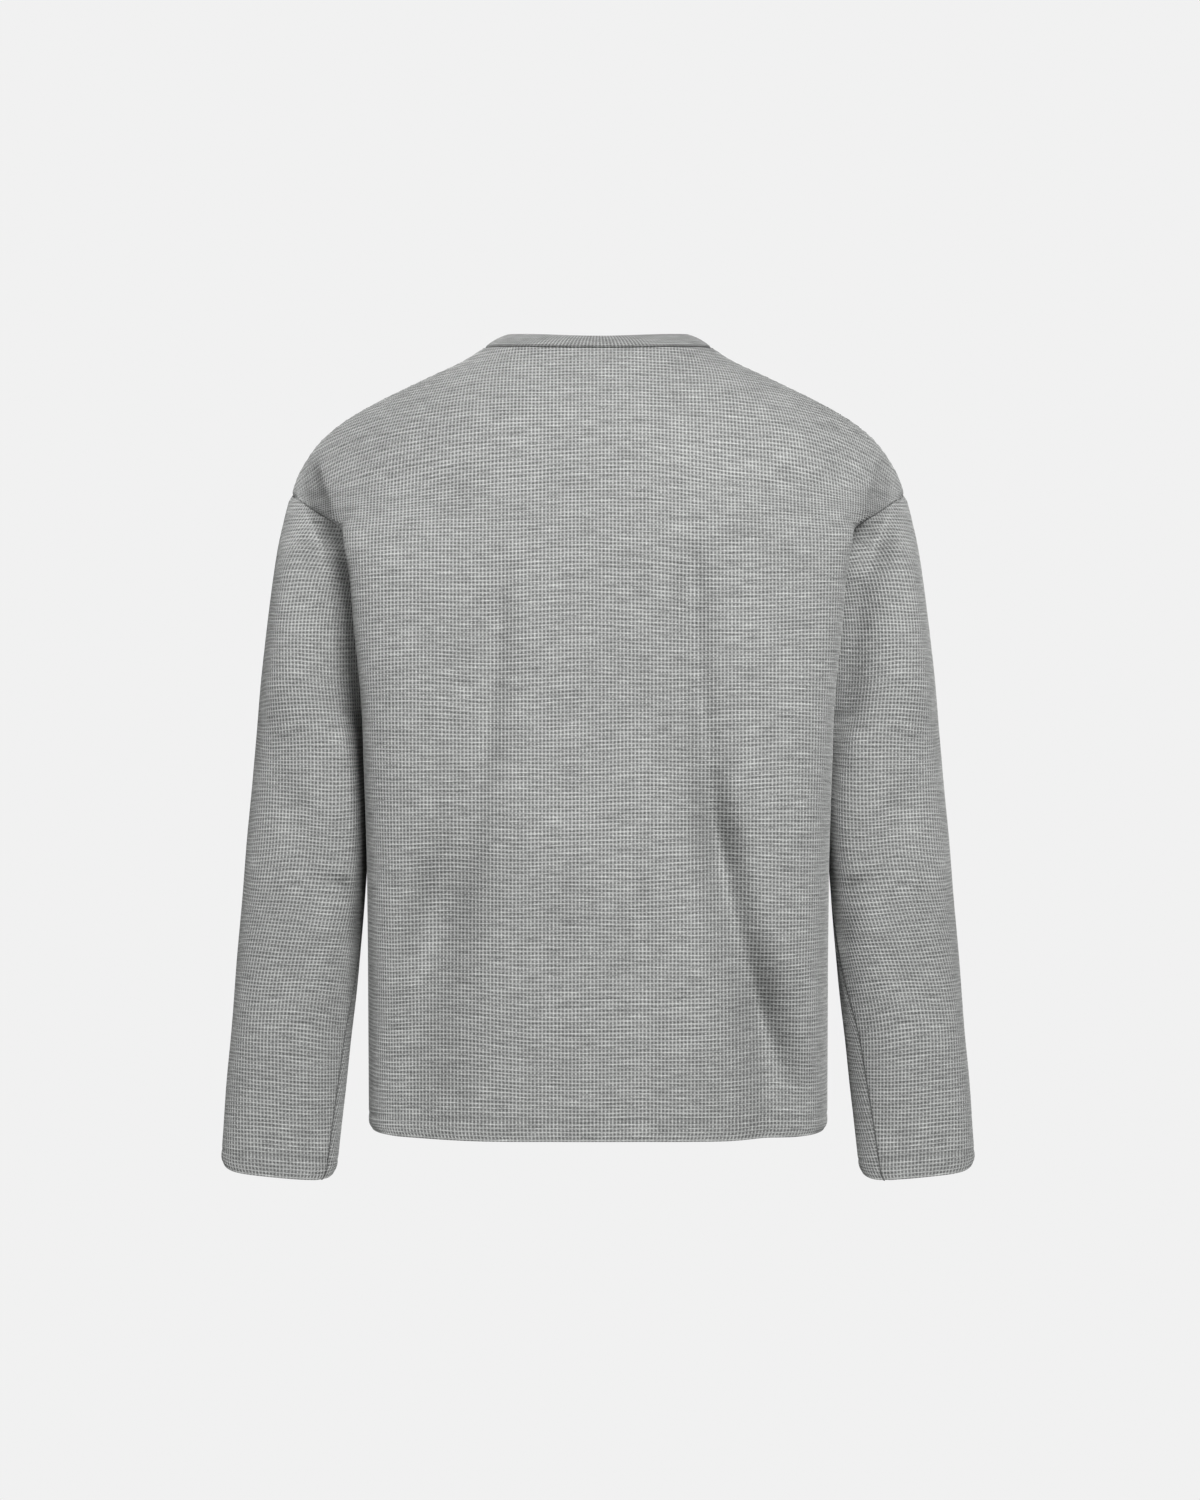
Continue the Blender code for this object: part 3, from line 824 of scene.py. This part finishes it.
    def mesh(self, name: str, knit: WaffleKnit) -> Mesh:
        """Build the cells, with corners that lie in one place made into one.

        Args:
            name: The mesh's name.
            knit: The cells' sizes.

        Returns:
            The mesh, with its maps.
        """
        data, cells = self.cells(knit)
        steps = np.round(data[:, :3] * MERGE_STEPS).astype(np.int64)
        _, first, merged = np.unique(steps, axis=0, return_index=True, return_inverse=True)
        merged = merged.reshape(-1).tolist()
        faces: list[list[int]] = []
        loops: list[int] = []
        for cell in cells:
            distinct = {merged[corner]: corner for corner in cell}
            if len(distinct) > 2:
                faces.append(list(distinct))
                loops.extend(distinct.values())
        wanted = np.unique(np.concatenate(faces))
        number = dict(zip(wanted.tolist(), range(len(wanted))))
        mesh = bpy.data.meshes.new(name)
        numbered = [[number[corner] for corner in face] for face in faces]
        mesh.from_pydata(data[first[wanted], :3] * MM, [], numbered)
        flat = self.flat.reshape(-1, 2)
        low, span = flat.min(axis=0), float(np.ptp(flat, axis=0).max())
        add_maps(mesh, data[loops, 3:5], data[loops, 5], low, span)
        mesh.shade_flat()
        return mesh


@dataclass(kw_only=True)
class CutPiece(ABC):
    """A piece of waffle knit that is laid out on a form, cut out, hemmed and sewn in."""

    knit: WaffleKnit
    sway_size: float
    sway_height: float
    sway_seed: float
    sway_fade: float = 50.0
    ripple_size: float
    ripple_height: float
    ripple_seed: float

    @abstractmethod
    def lattice(self) -> Lattice:
        """Lay the knit out on the piece's form and cut it out."""

    def levels(self, line: Array) -> Array:
        """Heights of the courses, evenly spaced up a line.

        Args:
            line: Points, one a row, with their height last.

        Returns:
            The heights, and that of the line's upper end.
        """
        along = lengths_along(line)
        steps = np.arange(int(along[-1] // self.knit.course) + 1) * self.knit.course
        return np.append(np.interp(steps, along, line[:, -1]), line[-1, -1])

    def wales(self, reach: float) -> Array:
        """Distances of the wales from the middle, to past the farthest edge on both sides."""
        columns = int(reach // self.knit.wale) + 2
        return np.arange(-columns, columns + 1) * self.knit.wale

    def wander(self, across: Array, places: Array, share: Array) -> tuple[Array, Array, Array]:
        """Let the courses wander up and down over a grid of corners.

        Args:
            across: The wales' distances from the middle.
            places: Where the corners lie.
            share: How far each is on the way to the edge.

        Returns:
            The corners' flat coordinates, new places and new shares.
        """
        own = np.arange(len(places))[:, None] + np.zeros(len(across))
        up, down = own * self.knit.course, (len(places) - 1 - own) * self.knit.course
        points = np.stack(np.broadcast_arrays(across, up, 0.0), -1)
        free = ease(up / self.sway_fade) * ease(down / self.sway_fade)
        wandered = free * ripple(points, self.sway_size, self.sway_seed)
        rows = own + self.sway_height / self.knit.course * wandered
        rows = np.clip(rows, 0, len(places) - 1)
        return points[..., :2], read_rows(places, rows), read_rows(share, rows)

    def ripples(self, places: Array, way: float = 1.0) -> Array:
        """How far the cloth ripples at places, in one way or another."""
        return self.ripple_height * ripple(places, self.ripple_size, way * self.ripple_seed)

    def build(self, name: str) -> Object:
        """Make the piece's object."""
        return bpy.data.objects.new(name, self.lattice().mesh(name, self.knit))


@dataclass(kw_only=True)
class Panel(CutPiece):
    """The back or the front: one piece from the hem to the shoulders and neck."""

    side: Side
    form: TorsoForm
    folds: tuple[Fold, ...]
    side_fade: float = 0.16
    top_fade: float = 30.0
    sampling: float = 1.0
    edge_sampling: float = 0.4
    past_edge: float = 1.1
    droop_power: float = 2.0
    ripple_size: float = 75.0
    ripple_height: float = 0.9
    ripple_seed: float = 7.3
    sway_size: float = 85.0
    sway_height: float = 4.0
    sway_seed: float = 9.4

    def hung(self, across: Array, heights: Array, halves: list[Array]) -> tuple[Array, Array]:
        """Hang the courses on the panel's half, as x, depth and height.

        Args:
            across: The wales' distances from the middle.
            heights: Levels of the form's sections.
            halves: The sections.

        Returns:
            The corners' places, and how far each is on the way to the edge.
        """
        z = np.linspace(self.form.hem + self.knit.fold_radius, 0.0, EDGE_POINTS)
        levels = self.levels(np.stack([self.form.depth(z, self.side), z], -1))
        reaches = np.array([lengths_along(half)[-1] for half in halves])
        drawn = np.array([read_curve(half, np.abs(across)) for half in halves])
        hang = np.interp(-heights, [-row.height for row in DROOP], [row.drop for row in DROOP])
        places = np.zeros((len(levels), len(across), 3))
        share = np.zeros(places.shape[:2])
        for column, s in enumerate(np.abs(across)):
            part = np.clip(s / reaches, 0, self.past_edge)
            z = np.interp(levels, heights + hang * part**self.droop_power, heights)
            for axis in (0, 1):
                places[:, column, axis] = np.interp(z, heights, drawn[:, column, axis])
            places[:, column, 2] = z
            share[:, column] = s / np.interp(z, heights, reaches)
        places[..., 0] *= np.sign(across)
        return places, np.clip(share, 0, 1)

    def lattice(self) -> Lattice:
        """Lay the knit out on the panel's form, fold it and cut it out.

        Returns:
            The finished lattice.
        """
        form, face = self.form, self.side.value
        heights = np.append(np.arange(form.hem, 0.0, self.sampling), 0.0)
        halves = [form.section(height, self.side) for height in heights]
        across = self.wales(max(lengths_along(half)[-1] for half in halves))
        places, share = self.hung(across, heights, halves)
        x, z = places[..., 0], places[..., 2]
        free = ease((1 - share) / self.side_fade) * ease(-z / self.top_fade)
        sunk = sum(fold.sink(x, z) for fold in self.folds) + self.ripples(places, face)
        places[..., 1] = (places[..., 1] - sunk * free) * face
        flat, places, share = self.wander(across, places, share)

        x, z = places[..., 0], places[..., 2]
        neck = form.neck_line(self.side)
        above = z > np.interp(np.abs(x), neck[:, 0], neck[:, 2])
        inside = (share < INSIDE) & ~(above & (np.abs(x) < form.neck_half_width))
        edge = np.column_stack([[half[-1] for half in halves], heights]) * (1.0, face, 1.0)
        edge = read_curve(edge, np.arange(0, lengths_along(edge)[-1], self.edge_sampling))
        edge = form.round_corners(edge)
        lattice = Lattice(
            places=form.round_corners(places),
            flat=flat,
            inside=inside,
            outlines=[edge, edge * MIRROR_X, neck, neck * MIRROR_X],
            corners=[neck[-1], neck[-1] * MIRROR_X],
            flip=self.side is Side.BACK,
        )
        lattice.trim()
        lattice.sink_dents()
        lattice.draw_in(self.knit)
        lattice.turn_up_hem(self.knit)
        return lattice


@dataclass(kw_only=True)
class Sleeve(CutPiece):
    """One sleeve, closed by its underarm seam and set into the armhole."""

    hand: Hand
    form: SleeveForm
    ripple_size: float = 60.0
    ripple_height: float = 0.7
    ripple_seed: float = 3.1
    ripple_fade: float = 20.0
    before_seam: float = 1e-4
    sway_size: float = 60.0
    sway_height: float = 5.5
    sway_seed: float = 2.7

    def seam_lines(self) -> list[Array]:
        """The armhole's two edges and the underarm seam.

        Returns:
            Lines of points.
        """
        torso = self.form.torso
        heights = np.linspace(torso.shoulder_tip, torso.underarm, ARMHOLE_POINTS)
        back = np.column_stack([[torso.edge(height) for height in heights], heights])
        under = []
        for height in np.linspace(torso.underarm, self.form.cuff, EDGE_POINTS):
            reach = lengths_along(self.form.half(height))[-1]
            under.append(self.form.ring(height, np.array([reach - self.before_seam]))[0][0])
        return [back, back * MIRROR_Y, np.array(under)]

    def lattice(self) -> Lattice:
        """Lay the knit out on the sleeve's form and cut it out.

        Returns:
            The finished lattice.
        """
        form = self.form
        z = np.linspace(form.cuff + self.knit.fold_radius, form.torso.shoulder_tip, EDGE_POINTS)
        outer = [read_column(SLEEVE, "outer_x", height) for height in z]
        levels = self.levels(np.column_stack([outer, z]))
        across = self.wales(max(lengths_along(form.half(level))[-1] for level in levels))
        rings, reaches = zip(*(form.ring(level, across) for level in levels))
        share = np.abs(across)[None] / np.maximum(np.array(reaches)[:, None], TINY)
        flat, places, share = self.wander(across, np.array(rings), share)
        lattice = Lattice(
            places=places,
            flat=flat,
            inside=share < INSIDE,
            outlines=self.seam_lines(),
            corners=[places[-1, len(across) // 2]],
            flip=False,
        )
        lattice.inside[-1] = False
        lattice.trim()
        lattice.sink_dents()
        puffed = self.ripples(lattice.places) * ease(lattice.seam / self.ripple_fade)
        lattice.places += lattice.normals() * puffed[..., None]
        lattice.draw_in(self.knit)
        lattice.turn_up_hem(self.knit)
        lattice.places[..., 0] *= self.hand.value
        lattice.flip = self.hand is Hand.RIGHT
        return lattice


@dataclass
class Neckband:
    """A strip of fine rib, folded double and sewn round the neck."""

    form: TorsoForm
    run_back: float = 20.0
    run_front: float = 14.0
    rise_back: float = 11.5
    rise_front: float = 16.0
    crown: float = 1.2
    centre: tuple[float, float] = (0.0, -8.0)
    thickness: float = 2.4
    rib: float = 1.6
    rib_height: float = 0.2
    rib_points: int = 4
    rib_fades_low: float = 0.1
    rib_fades_high: float = 0.06
    rib_on_fold: float = 0.3
    groove: float = 1.0
    groove_wide: float = 1.6
    tucked_below: float = 0.12
    seam_far: float = 30.0
    rows: int = 9
    fold_step: int = 30

    def seam(self) -> Array:
        """The neck seam once round, from the middle of the back, evenly spaced.

        Returns:
            Points, the first one not repeated.
        """
        back, front = self.form.neck_line(Side.BACK), self.form.neck_line(Side.FRONT)
        right = (front * MIRROR_X)[1:-1], (back * MIRROR_X)[::-1]
        loop = np.concatenate([back, front[-2::-1], *right])
        length = lengths_along(loop)[-1]
        count = self.rib_points * int(length // self.rib)
        return read_curve(loop, np.arange(count) / count * length)

    def grid(self) -> Array:
        """The band's rows: up its outer face, over the fold and down its inner face.

        Returns:
            Points in rows, each once round the neck.
        """
        seam = self.seam()
        inward = np.array(self.centre) - seam[:, :2]
        inward /= np.linalg.norm(inward, axis=1, keepdims=True)
        front = ease(seam[:, 2] / self.form.front_neck)
        rise = self.rise_back + (self.rise_front - self.rise_back) * front
        run = self.run_back + (self.run_front - self.run_back) * front
        slope = np.column_stack([inward * run[:, None], rise])
        slope /= np.linalg.norm(slope, axis=1, keepdims=True)
        out = np.column_stack([-inward * slope[:, 2:], np.hypot(slope[:, 0], slope[:, 1])])
        wide = np.hypot(run, rise)
        ribs = self.rib_height * np.cos(np.arange(len(seam)) * 2 * np.pi / self.rib_points)
        rows = []
        for t in np.linspace(0, 1, self.rows):
            lift = self.crown * np.sin(np.pi * t)
            lift = lift - self.groove * np.exp(-((t * wide / self.groove_wide) ** 2))
            lift += ribs * ease(t / self.rib_fades_low) * ease((1 - t) / self.rib_fades_high)
            rows.append(seam + slope * (wide * t)[:, None] + out * lift[:, None])
        half = self.thickness / 2
        top = seam + slope * wide[:, None] - out * half
        for angle in np.radians(np.arange(self.fold_step, 180, self.fold_step)):
            turn = out * np.cos(angle) + slope * np.sin(angle)
            rows.append(top + turn * (half + ribs * self.rib_on_fold)[:, None])
        for t in np.linspace(1, -self.tucked_below, self.rows):
            sunk = self.thickness + ribs * ease((1 - t) / self.rib_fades_high)
            rows.append(seam + slope * (wide * t)[:, None] - out * sunk[:, None])
        return np.array(rows)

    def build(self, name: str) -> Object:
        """Make the band's object.

        Args:
            name: Its name.

        Returns:
            The object.
        """
        grid = self.grid()
        rows, count = grid.shape[:2]
        ids = np.arange(rows * count).reshape(rows, count)
        right = np.roll(ids, -1, axis=1)
        quads = np.stack([ids[:-1], ids[1:], right[1:], right[:-1]], -1).reshape(-1, 4)
        mesh = bpy.data.meshes.new(name)
        mesh.from_pydata(grid.reshape(-1, 3) * MM, [], quads.tolist())
        step = self.rib / self.rib_points
        left, up = np.arange(count), lengths_along(grid[:, 0])
        u = np.stack([left, left, left + 1, left + 1], -1)[None] * step
        v = np.stack([up[:-1], up[1:], up[1:], up[:-1]], -1)[:, None]
        flat = np.stack(np.broadcast_arrays(u, v), -1).reshape(-1, 2)
        add_maps(mesh, flat, np.minimum(flat[:, 1], self.seam_far), 0.0, count * step)
        mesh.shade_smooth()
        return bpy.data.objects.new(name, mesh)


@dataclass(frozen=True)
class Blots:
    """Stretched noise: its size in millimetres, detail, place in the noise and weight."""

    wide: float
    high: float
    detail: float
    shift: float
    weight: float


class Net:
    """A node tree, and the one way in which nodes are added to it."""

    def __init__(self, owner: Material | World) -> None:
        """Start with an empty tree.

        Args:
            owner: The material or the world that it belongs to.
        """
        owner.use_nodes = True
        self.tree = owner.node_tree
        self.tree.nodes.clear()

    def node(self, kind: str, inputs: Inputs | None = None, **settings: object) -> Node:
        """Add a node.

        Args:
            kind: Its type, without the words that all types start with.
            inputs: Values or links of its sockets, by name or number.
            settings: Properties that are set first.

        Returns:
            The node.
        """
        node = self.tree.nodes.new("ShaderNode" + kind)
        for key, value in settings.items():
            setattr(node, key, value)
        for key, value in (inputs or {}).items():
            if isinstance(value, Value):
                self.tree.links.new(value.socket, node.inputs[key])
            elif isinstance(value, NodeSocket):
                self.tree.links.new(value, node.inputs[key])
            else:
                node.inputs[key].default_value = value
        return node

    def value(self, node: Node, output: str | int = 0) -> Value:
        """Wrap one of a node's outputs."""
        return Value(self, node.outputs[output])

    def map(self, name: str) -> tuple[Value, Value]:
        """The first and the second coordinate of one of the mesh's maps."""
        parts = self.node("SeparateXYZ", {0: self.node("UVMap", uv_map=name).outputs[0]})
        return self.value(parts, 0), self.value(parts, 1)

    def blots(self, u: Value, v: Value, blots: Blots) -> Value:
        """Noise from about -0.5 to 0.5 times its weight, stretched to a size.

        Args:
            u: Place across, in metres.
            v: Place up, in metres.
            blots: The noise's sizes.

        Returns:
            The noise.
        """
        terms = {0: u / (blots.wide * MM) + blots.shift, 1: v / (blots.high * MM) + blots.shift}
        place = self.node("CombineXYZ", terms)
        inputs = {"Vector": place.outputs[0], "Scale": 1.0, "Detail": blots.detail}
        made = self.node("TexNoise", inputs, noise_dimensions="2D")
        return (self.value(made) - 0.5) * blots.weight

    def pale_light(self, kind: str, output: str, seen: float, cast: float) -> None:
        """Give the tree a white light that looks one strength and lights with another.

        Args:
            kind: The light node's type.
            output: The output node's type.
            seen: How bright the camera sees it.
            cast: How bright everything else gets it.
        """
        path = self.node("LightPath")
        strength = self.value(path, "Is Camera Ray") * (seen - cast) + cast
        light = self.node(kind, {"Color": (1.0, 1.0, 1.0, 1.0), "Strength": strength})
        self.node(output, {"Surface": light.outputs[0]})


class Value:
    """A number in a node tree, with arithmetic that adds Math nodes."""

    def __init__(self, net: Net, socket: NodeSocket) -> None:
        """Wrap a socket of a tree."""
        self.net = net
        self.socket = socket

    def math(self, operation: str, *others: Value | float, swapped: bool = False) -> Value:
        """Add a Math node over this value and others, or with this value last if swapped."""
        terms = [*others, self] if swapped else [self, *others]
        return self.net.value(self.net.node("Math", dict(enumerate(terms)), operation=operation))

    __add__ = __radd__ = partialmethod(math, "ADD")
    __sub__ = partialmethod(math, "SUBTRACT")
    __rsub__ = partialmethod(math, "SUBTRACT", swapped=True)
    __mul__ = __rmul__ = partialmethod(math, "MULTIPLY")
    __truediv__ = partialmethod(math, "DIVIDE")

    def fade(self, start: float, end: float) -> Value:
        """Ease from 0 at the start to 1 at the end, which may be the lower one, in millimetres."""
        inputs = {"Value": self, "From Min": start * MM, "From Max": end * MM}
        return self.net.value(self.net.node("MapRange", inputs, interpolation_type="SMOOTHSTEP"))


@dataclass(frozen=True)
class MarlYarn:
    """Marl yarn: dark and light fibres that streak along the courses."""

    dark: Colour = (0.153, 0.157, 0.155)
    light: Colour = (0.597, 0.605, 0.594)
    middle: float = 0.5
    streaks: Blots = Blots(15.0, 1.15, 2.0, 0.0, 0.8)
    long_streaks: Blots = Blots(48.0, 2.6, 1.0, 17.0, 0.45)
    flecks: Blots = Blots(1.98, 0.9, 2.0, 41.0, 0.9)
    clouds: Blots = Blots(150.0, 110.0, 1.0, 5.0, 0.15)

    def tone(self, net: Net, u: Value, v: Value) -> Value:
        """How light the yarn is over the cloth.

        Args:
            net: The material's tree.
            u: Distance across the wales, in metres.
            v: Distance up the courses, in metres.

        Returns:
            A value from 0 to 1.
        """
        tone = self.middle
        for blots in (self.streaks, self.long_streaks, self.flecks, self.clouds):
            tone = tone + net.blots(u, v, blots)
        return tone

    def colour(self, net: Net, tone: Value, lit: Value) -> NodeSocket:
        """The yarn's colour where it has a tone, darkened where less light gets to it.

        Args:
            net: The material's tree.
            tone: How light the yarn is.
            lit: The share of the light that gets to it.

        Returns:
            The colour's socket.
        """
        inputs = {"Factor": tone, 6: (*self.dark, 1.0), 7: (*self.light, 1.0)}
        marl = net.node("Mix", inputs, data_type="RGBA", clamp_factor=True)
        shade = net.node("CombineColor", {0: lit, 1: lit, 2: lit})
        inputs = {"Factor": 1.0, 6: marl.outputs[2], 7: shade.outputs[0]}
        return net.node("Mix", inputs, data_type="RGBA", blend_type="MULTIPLY").outputs[2]


@dataclass(frozen=True)
class KnitFinish:
    """A knit's finish: matt yarn with soft sheen, pits or ribs, painted shade in them and along seams.
    """

    name: str
    yarn: MarlYarn
    across: float
    along: float
    # These darken the colour as painted shade: in the pits, more on the courses' borders, and along the
    # seams, unevenly
    pit_painted_shade: float = 0.74
    course_ridge: float = 0.85
    seam_painted_shade: float = 0.8
    seam_reach: float = 1.2
    seam_blots: Blots = Blots(2.2, 2.2, 1.0, 73.0, 0.9)
    stitch_shade: float = 0.45
    stitch_height: float = 16.5
    stitch_reach: float = 1.1
    stitch_core: float = 0.3
    loops_across: int = 3
    loops_along: int = 4
    roughness: float = 0.92
    sheen: float = 0.18
    sheen_roughness: float = 0.45
    specular: float = 0.25
    bump_strength: float = 0.8
    cell_bump: float = 0.16
    yarn_bump: float = 0.05

    def waves(self, place: Value, size: float) -> Value:
        """1 at the borders between repeats of a size in millimetres and 0 at their middles."""
        part = (place / (size * MM)).math("FRACT")
        return (part - 0.5).math("ABSOLUTE") * 2.0

    def material(self) -> Material:
        """Make the material.

        Returns:
            A material that reads the maps named Flat and Seams.
        """
        made = bpy.data.materials.new(self.name)
        net = Net(made)
        u, v = net.map("Flat")
        from_seam, _ = net.map("Seams")
        a, b = self.waves(u, self.across), self.waves(v, self.along)
        ridge = 1.0 - (1.0 - a * a) * (1.0 - b * b * self.course_ridge)
        tone = self.yarn.tone(net, u, v)
        # Painted shade in the pits, none on the ridges between them
        sunk = self.pit_painted_shade * (1.0 - ridge)
        # Painted shade along the seams, made uneven by blots
        uneven = 1.0 + net.blots(u, v, self.seam_blots)
        by_seam = self.seam_painted_shade * from_seam.fade(self.seam_reach, 0.0) * uneven
        from_stitch = (v - self.stitch_height * MM).math("ABSOLUTE")
        stitched = from_stitch.fade(self.stitch_reach, self.stitch_core) * (1.0 - a)
        # The share of the light that is left: painted shade in the pits and along the seams, and the
        # stitch line's darker dashes
        lit = (1.0 - sunk) * (1.0 - by_seam) * (1.0 - self.stitch_shade * stitched)
        colour = self.yarn.colour(net, tone, lit)

        across, along = self.across / self.loops_across, self.along / self.loops_along
        loops = self.waves(u, across) + self.waves(v, along)
        height = ridge * self.cell_bump + loops * self.yarn_bump + tone * self.yarn_bump
        inputs = {"Strength": self.bump_strength, "Distance": MM, "Height": height}
        bump = net.node("Bump", inputs)
        inputs = {
            "Base Color": colour,
            "Roughness": self.roughness,
            "Sheen Weight": self.sheen,
            "Sheen Roughness": self.sheen_roughness,
            "Specular IOR Level": self.specular,
            "Normal": bump.outputs[0],
        }
        shader = net.node("BsdfPrincipled", inputs)
        net.node("OutputMaterial", {"Surface": shader.outputs[0]})
        return made


@dataclass(frozen=True)
class Lamp:
    """A soft square light, with its place and side in metres and its power in watts."""

    name: str
    place: Place
    size: float
    power: float

    def build(self, aim: Vector) -> Object:
        """Make the light.

        Args:
            aim: The place that it faces.

        Returns:
            The light's object.
        """
        data = bpy.data.lights.new(self.name, "AREA")
        data.shape = "SQUARE"
        data.size = self.size
        data.energy = self.power
        lamp = bpy.data.objects.new(self.name, data)
        lamp.location = self.place
        lamp.rotation_euler = (aim - lamp.location).to_track_quat("-Z", "Y").to_euler()
        return lamp


@dataclass(frozen=True)
class Studio:
    """Pale floor and backdrop, soft lights and the camera, in metres."""

    pale: float = 0.879
    floor_height: float = -1.05
    floor_size: float = 40.0
    ambient: float = 0.2
    floor_bounce: float = 0.3
    camera_distance: float = 4.0
    view_width: float = 1.032
    aim_x: float = -0.0017
    aim_z: float = -0.3457
    sensor: float = 36.0
    lamps: tuple[Lamp, ...] = (
        Lamp("key", (-0.72, 3.1, 1.25), 1.0, 171.0),
        Lamp("fill", (3.0, 3.6, 0.3), 2.4, 57.0),
        Lamp("front", (0.9, -3.4, 1.0), 2.0, 200.0),
    )

    def floor(self) -> Object:
        """Make the floor.

        Returns:
            Its object.
        """
        half = self.floor_size / 2
        corners = [(-half, -half), (half, -half), (half, half), (-half, half)]
        mesh = bpy.data.meshes.new("floor")
        mesh.from_pydata([(x, y, self.floor_height) for x, y in corners], [], [(0, 1, 2, 3)])
        pale = bpy.data.materials.new("pale_floor")
        Net(pale).pale_light("Emission", "OutputMaterial", self.pale, self.floor_bounce)
        mesh.materials.append(pale)
        return bpy.data.objects.new("floor", mesh)

    def world(self) -> World:
        """Make the pale surroundings.

        Returns:
            The world.
        """
        made = bpy.data.worlds.new("studio")
        Net(made).pale_light("Background", "OutputWorld", self.pale, self.ambient)
        return made

    def camera(self) -> Object:
        """Make the level camera behind the top, looking at its back.

        Returns:
            The camera's object.
        """
        data = bpy.data.cameras.new("camera")
        data.sensor_fit = "HORIZONTAL"
        data.sensor_width = self.sensor
        data.lens = self.sensor * self.camera_distance / self.view_width
        camera = bpy.data.objects.new("camera", data)
        camera.location = (self.aim_x, self.camera_distance, self.aim_z)
        camera.rotation_euler = (np.pi / 2, 0.0, np.pi)
        return camera

    def build(self, scene: Scene) -> None:
        """Set the studio up.

        Args:
            scene: The scene that it goes into.
        """
        floor, camera = self.floor(), self.camera()
        aim = Vector((0.0, 0.0, self.aim_z))
        for thing in (floor, camera, *(lamp.build(aim) for lamp in self.lamps)):
            scene.collection.objects.link(thing)
        scene.camera = camera
        scene.world = self.world()
        scene.view_settings.view_transform = "Standard"
        scene.view_settings.look = "None"


@dataclass(frozen=True)
class Dressed:
    """A piece, with its name, the frame node that it replaces, its finish's slot and facts about it."""

    name: str
    piece: CutPiece | Neckband
    node: str
    slot: str
    flat: tuple[float, float]
    area: float
    rests_on: tuple[str, ...]

    def declare(self, scene: Scene, finish: Material) -> None:
        """Build the piece, give it its finish, hang it from the root body and hide its frame node.

        Args:
            scene: The scene that it goes into.
            finish: Its material.
        """
        thing = self.piece.build(self.name)
        thing.data.materials.append(finish)
        scene.collection.objects.link(thing)
        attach(thing, "root")
        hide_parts(self.node)
        log.info("%s: %d faces", thing.name, len(thing.data.polygons))


@dataclass
class ThermalTop:
    """The whole top: two panels, two sleeves and the neckband."""

    torso: TorsoForm = field(default_factory=TorsoForm)
    knit: WaffleKnit = field(default_factory=WaffleKnit)
    yarn: MarlYarn = field(default_factory=MarlYarn)
    right_twist: float = 31.0

    def finishes(self) -> dict[str, Material]:
        """Make the two finishes.

        Returns:
            The materials, by their slots' names.
        """
        waffle = KnitFinish("waffle_knit", self.yarn, self.knit.wale, self.knit.course)
        # The band's finish has deep painted shade in its pits and a wide band of painted shade along its
        # neck seam
        ribbing = KnitFinish(
            name="band_knit",
            yarn=self.yarn,
            across=3.2,
            along=2.4,
            pit_painted_shade=0.86,
            cell_bump=0.2,
            seam_painted_shade=0.95,
            seam_reach=4.8,
            stitch_shade=0.0,
        )
        return {finish.name: finish.material() for finish in (waffle, ribbing)}

    def build(self, scene: Scene) -> None:
        """Make every piece and set it in place of its frame node.

        Args:
            scene: The scene that they go into.
        """
        knit, torso, both = self.knit, self.torso, ("back", "front")
        back = Panel(knit=knit, side=Side.BACK, form=torso, folds=BACK_FOLDS)
        front = Panel(knit=knit, side=Side.FRONT, form=torso, folds=FRONT_FOLDS)
        left = Sleeve(knit=knit, hand=Hand.LEFT, form=SleeveForm(torso))
        right = Sleeve(knit=knit, hand=Hand.RIGHT, form=SleeveForm(torso, twist=self.right_twist))
        pieces = (
            Dressed("back_cloth", back, "back", "waffle_knit", (0.63, 0.72), 0.398, ("front",)),
            Dressed("front_cloth", front, "front", "waffle_knit", (0.63, 0.72), 0.37, ("back",)),
            Dressed("sleeve_left_cloth", left, "sleeve_left", "waffle_knit", (0.37, 0.6), 0.18, both),
            Dressed("sleeve_right_cloth", right, "sleeve_right", "waffle_knit", (0.37, 0.6), 0.18, both),
            Dressed("neckband_knit", Neckband(torso), "neckband", "band_knit", (0.6, 0.05), 0.03, both),
        )
        finishes = self.finishes()
        for piece in pieces:
            piece.declare(scene, finishes[piece.slot])


def main() -> None:
    """Load the frame, make the top and its studio, and write how large it came out."""
    logging.basicConfig(level=logging.INFO, format="%(name)s: %(message)s")
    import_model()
    scene = bpy.context.scene
    ThermalTop().build(scene)
    Studio().build(scene)
    bpy.context.view_layer.update()


if __name__ == "__main__":
    main()
